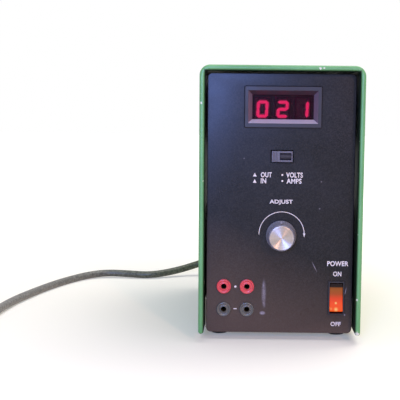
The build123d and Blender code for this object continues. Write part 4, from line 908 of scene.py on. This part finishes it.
def make_winding():
    """The transformer's outer layer of enamelled wire, drawn at 1 mm where the real wire is finer, so that it
    shows."""
    wire = 1.0
    low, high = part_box("transformer_coil")
    middle = (low + high) * 500
    sizes = {"Width": high.x - low.x - mm(0.9), "Depth": high.y - low.y - mm(0.9), "Corner": mm(5.6),
             "Wire radius": mm(wire / 2), "Count": int((high.z - low.z) * 1000 - wire),
             "Step": (0.0, 0.0, mm(wire))}
    grow("copper_turns", wire_tree(), [((middle.x, middle.y, low.z * 1000 + wire), (0, 0, 1))], sizes, COPPER,
         slot=slot_of("transformer_coil"))


def lamination_tree():
    """Stamped plates with two windows, one behind the other."""
    tree, size = new_tree("laminations", [
        ("Plate", "Vector", (0.076, 0.001, 0.064)), ("Window", "Vector", (0.015, 0.01, 0.038)),
        ("Window offset", "Vector", (0.0195, 0.0, 0.0)), ("Count", "Int", 24),
        ("Step", "Vector", (0.0, 0.0015, 0.0))])
    plate = add(tree, "GeometryNodeMeshCube", Size=size["Plate"])
    cut = add(tree, "GeometryNodeMeshBoolean", {"Mesh 1": plate}, operation="DIFFERENCE")
    window = add(tree, "GeometryNodeMeshCube", Size=size["Window"])
    for side in (1.0, -1.0):
        place = add(tree, "ShaderNodeVectorMath", {0: size["Window offset"], 1: (side, 1, 1)},
                    operation="MULTIPLY")
        fill(tree, cut, {"Mesh 2": add(tree, "GeometryNodeTransform", Geometry=window, Translation=place)})
    rows = add(tree, "GeometryNodeMeshLine", Count=size["Count"], Offset=size["Step"])
    stack = add(tree, "GeometryNodeInstanceOnPoints", Points=rows, Instance=cut)
    stack = add(tree, "GeometryNodeRealizeInstances", Geometry=stack)
    placed = add(tree, "GeometryNodeInstanceOnPoints", Points=size["Geometry"], Instance=stack)
    finish_tree(tree, placed, IRON)
    return tree


def make_laminations():
    """The transformer's core as stamped plates, drawn thicker than the real 0.5 mm so that they show."""
    count = 24
    low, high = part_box("transformer_core")
    middle = (low + high) * 500
    step = (high.y - low.y) / count
    sizes = {"Plate": (high.x - low.x, step * 0.86, high.z - low.z), "Window": mm(15.0, 10.0, 38.0),
             "Window offset": mm(19.5, 0.0, 0.0), "Count": count, "Step": (0.0, step, 0.0)}
    grow("stamped_plates", lamination_tree(), [((middle.x, (low.y + step / 2) * 1000, middle.z), (0, 0, 1))],
         sizes, IRON, node="transformer_core")


# Every other node

# Nodes that show outside: finish and how far their edges are softened, in millimetres
OUTSIDE = {
    "front_panel": (PANEL_PAINT, 0.0), "display_bezel": (BLACK, 0.25), "display_window": (FILTER, 0.1),
    "selector_housing": (BLACK, 0.15), "selector_button": (CHARCOAL, 0.12), "knob": (KNOB_BLACK, 0.0),
    "rocker_housing": (BLACK, 0.2), "rocker_button": (ROCKER_AMBER, 0.25), "jack_sockets": (TARNISHED, 0.0),
    "feet": (RUBBER, 0.0), "chassis": (STEEL, 0.2), "fuse_holder": (BLACK, 0.2), "fuse_cap": (BLACK, 0.15),
    "strain_relief": (JACKET, 0.15), "cord_tie": (RUBBER, 0.2), "plug_body": (JACKET, 0.3),
    "plug_blades": (NICKEL, 0.15), "digit_left": (GREY, 0.0), "digit_middle": (GREY, 0.0),
    "digit_right": (GREY, 0.0), "flag_drum": (DRUM_BLACK, 0.0), "flag_green": (GREEN_FLAG, 0.0),
}
INSIDE = {
    "panel_studs": STEEL, "panel_nuts": STEEL, "display_board": BOARD, "display_standoffs": BRASS,
    "knob_screw": STEEL, "pot_shaft": ALUMINIUM, "pot_body": NICKEL, "pot_washer": STEEL, "pot_nut": STEEL,
    "rocker_lamp": GLASS, "rocker_tabs": BRASS, "jack_nuts": BRASS, "transformer_coil": COPPER,
    "transformer_frame": STEEL, "main_board": BOARD, "board_standoffs": BRASS, "filter_capacitors": SLEEVE,
    "rectifier": BLACK, "triac": BLACK, "triac_heat_sink": ALUMINIUM, "relay": BLACK,
    "terminal_block": TERMINAL_GREEN, "fuse": GLASS,
}
# The sloping walls start this far inside the display frame's edge, and end this far behind the panel's face
FUNNEL_INSET, FUNNEL_DEPTH = 2.5, 4.0


def paint_funnel():
    """The display frame's sloping walls are smoother and greyer than its face, and carry painted light and
    shade.
    """
    mesh = bpy.data.objects["fine_display_bezel"].data
    mesh.materials.append(FUNNEL)
    low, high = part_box("display_bezel")
    inset = mm(FUNNEL_INSET)
    for face in mesh.polygons:
        x, y, z = face.center
        inside = low.x + inset < x < high.x - inset and low.z + inset < z < high.z - inset
        if inside and low.y + mm(0.05) < y < mm(PANEL_Y + FUNNEL_DEPTH):
            face.material_index = 1


make_cover()
make_screws()
make_winding()
make_laminations()
make_digits()
make_printing()
make_knob_cap()
make_jacks()
for node, (material, edge_mm) in OUTSIDE.items():
    refine(node, material, edge_mm)
for node, material in INSIDE.items():
    dress(node, material)
paint_funnel()
make_cord()


# Camera, floor and light

# The photograph's viewpoint, worked out from the panel's perspective: place, and turns in degrees
CAMERA_PLACE, CAMERA_TURN = (-26.0, -793.9, 183.6), (0.58, 5.53, 0.60)
CAMERA_LENS, CAMERA_SENSOR, CAMERA_SHIFT = 76.86, 36.0, -0.10
# The floor's half width and how far its darker middle reaches, in metres, and the middle's own glow
FLOOR_HALF, FLOOR_NEAR, FLOOR_GLOW = 8.0, 1.6, 0.18
# Lamps: place, what they face and width, in metres, with power in watts and colour
LAMPS = [
    ("ceiling, in front", (0.1, -0.4, 1.3), (0, -0.02, 0.1), 1.1, 9, "#F8F5FC"),
    ("ceiling, behind", (0.42, 0.3, 1.2), (0, -0.02, 0.1), 0.8, 8, "#FCF8F4"),
    ("cool window, upper left", (-0.22, -1.3, 0.35), (0, -0.1, 0.14), 0.22, 12, "#86A4FF"),
    ("warm lamp, upper right", (0.46, -1.25, 0.56), (0, -0.1, 0.1), 0.08, 5, "#FFC6AE"),
]


def make_camera():
    """Looks along +Y, turned left by the yaw, tipped down by the pitch and rolled about its own axis."""
    yaw, pitch, roll = (math.radians(a) for a in CAMERA_TURN)
    right = Vector((math.cos(yaw), math.sin(yaw), 0))
    forward = Vector((-math.sin(yaw) * math.cos(pitch), math.cos(yaw) * math.cos(pitch), -math.sin(pitch)))
    up = right.cross(forward)
    right, up = right * math.cos(roll) + up * math.sin(roll), up * math.cos(roll) - right * math.sin(roll)
    data = bpy.data.cameras.new("camera")
    data.lens, data.sensor_width, data.shift_x = CAMERA_LENS, CAMERA_SENSOR, CAMERA_SHIFT
    camera = stand("camera", data)
    turn = Matrix((right, up, -forward)).transposed().to_4x4()
    camera.matrix_world = Matrix.Translation(mm(*CAMERA_PLACE)) @ turn
    bpy.context.scene.camera = camera


def make_floor():
    """A white table: seen directly it is white except in shadow."""
    mesh = bpy.data.meshes.new("floor")
    corners = [(-1, -1, 0), (1, -1, 0), (1, 1, 0), (-1, 1, 0)]
    mesh.from_pydata([Vector(c) * FLOOR_HALF for c in corners], [], [(0, 1, 2, 3)])
    material, tree, surface, place = new_material("white table")
    fill(tree, surface, Base_Color=srgb("#F4E0CC"), Roughness=0.9)
    seen = add(tree, "ShaderNodeBsdfDiffuse", Color=srgb("#DFDDCF"))
    spot = add(tree, "ShaderNodeMapping", Vector=place, vector_type="TEXTURE", Scale=(FLOOR_NEAR,) * 3)
    near = add(tree, "ShaderNodeTexGradient", Vector=spot, gradient_type="SPHERICAL")
    level = add(tree, "ShaderNodeMapRange", Value=near, From_Min=0.3, From_Max=0.95, To_Min=1.0,
                To_Max=FLOOR_GLOW)
    glow = add(tree, "ShaderNodeEmission", Color=(1, 1, 1, 1), Strength=level)
    both = add(tree, "ShaderNodeAddShader", {0: seen, 1: glow})
    choice = add(tree, "ShaderNodeMixShader", {0: sees_white(tree), 1: surface, 2: both})
    fill(tree, tree.nodes["Material Output"], Surface=choice)
    mesh.materials.append(material)
    stand("floor", mesh)


def make_lamp(name, place, target, size, power, colour):
    """A square lamp that faces its target."""
    data = bpy.data.lights.new(name, "AREA")
    data.shape = "RECTANGLE"
    data.size = data.size_y = size
    data.energy = power
    data.color = srgb(colour)[:3]
    lamp = stand(name, data)
    lamp.location = place
    lamp.rotation_euler = (Vector(target) - Vector(place)).to_track_quat("-Z", "Y").to_euler()


def make_world():
    """A soft even light, behind a background that is seen white."""
    world = bpy.data.worlds.new("room")
    world.use_nodes = True
    tree = world.node_tree
    tree.nodes.clear()
    soft = add(tree, "ShaderNodeBackground", Color=srgb("#F2F3F8"), Strength=0.30)
    white = add(tree, "ShaderNodeBackground", Color=(1, 1, 1, 1), Strength=1.0)
    choice = add(tree, "ShaderNodeMixShader", {0: sees_white(tree), 1: soft, 2: white})
    add(tree, "ShaderNodeOutputWorld", Surface=choice)
    bpy.context.scene.world = world


make_camera()
make_floor()
make_world()
for lamp in LAMPS:
    make_lamp(*lamp)

bpy.context.scene.view_settings.view_transform = "Standard"
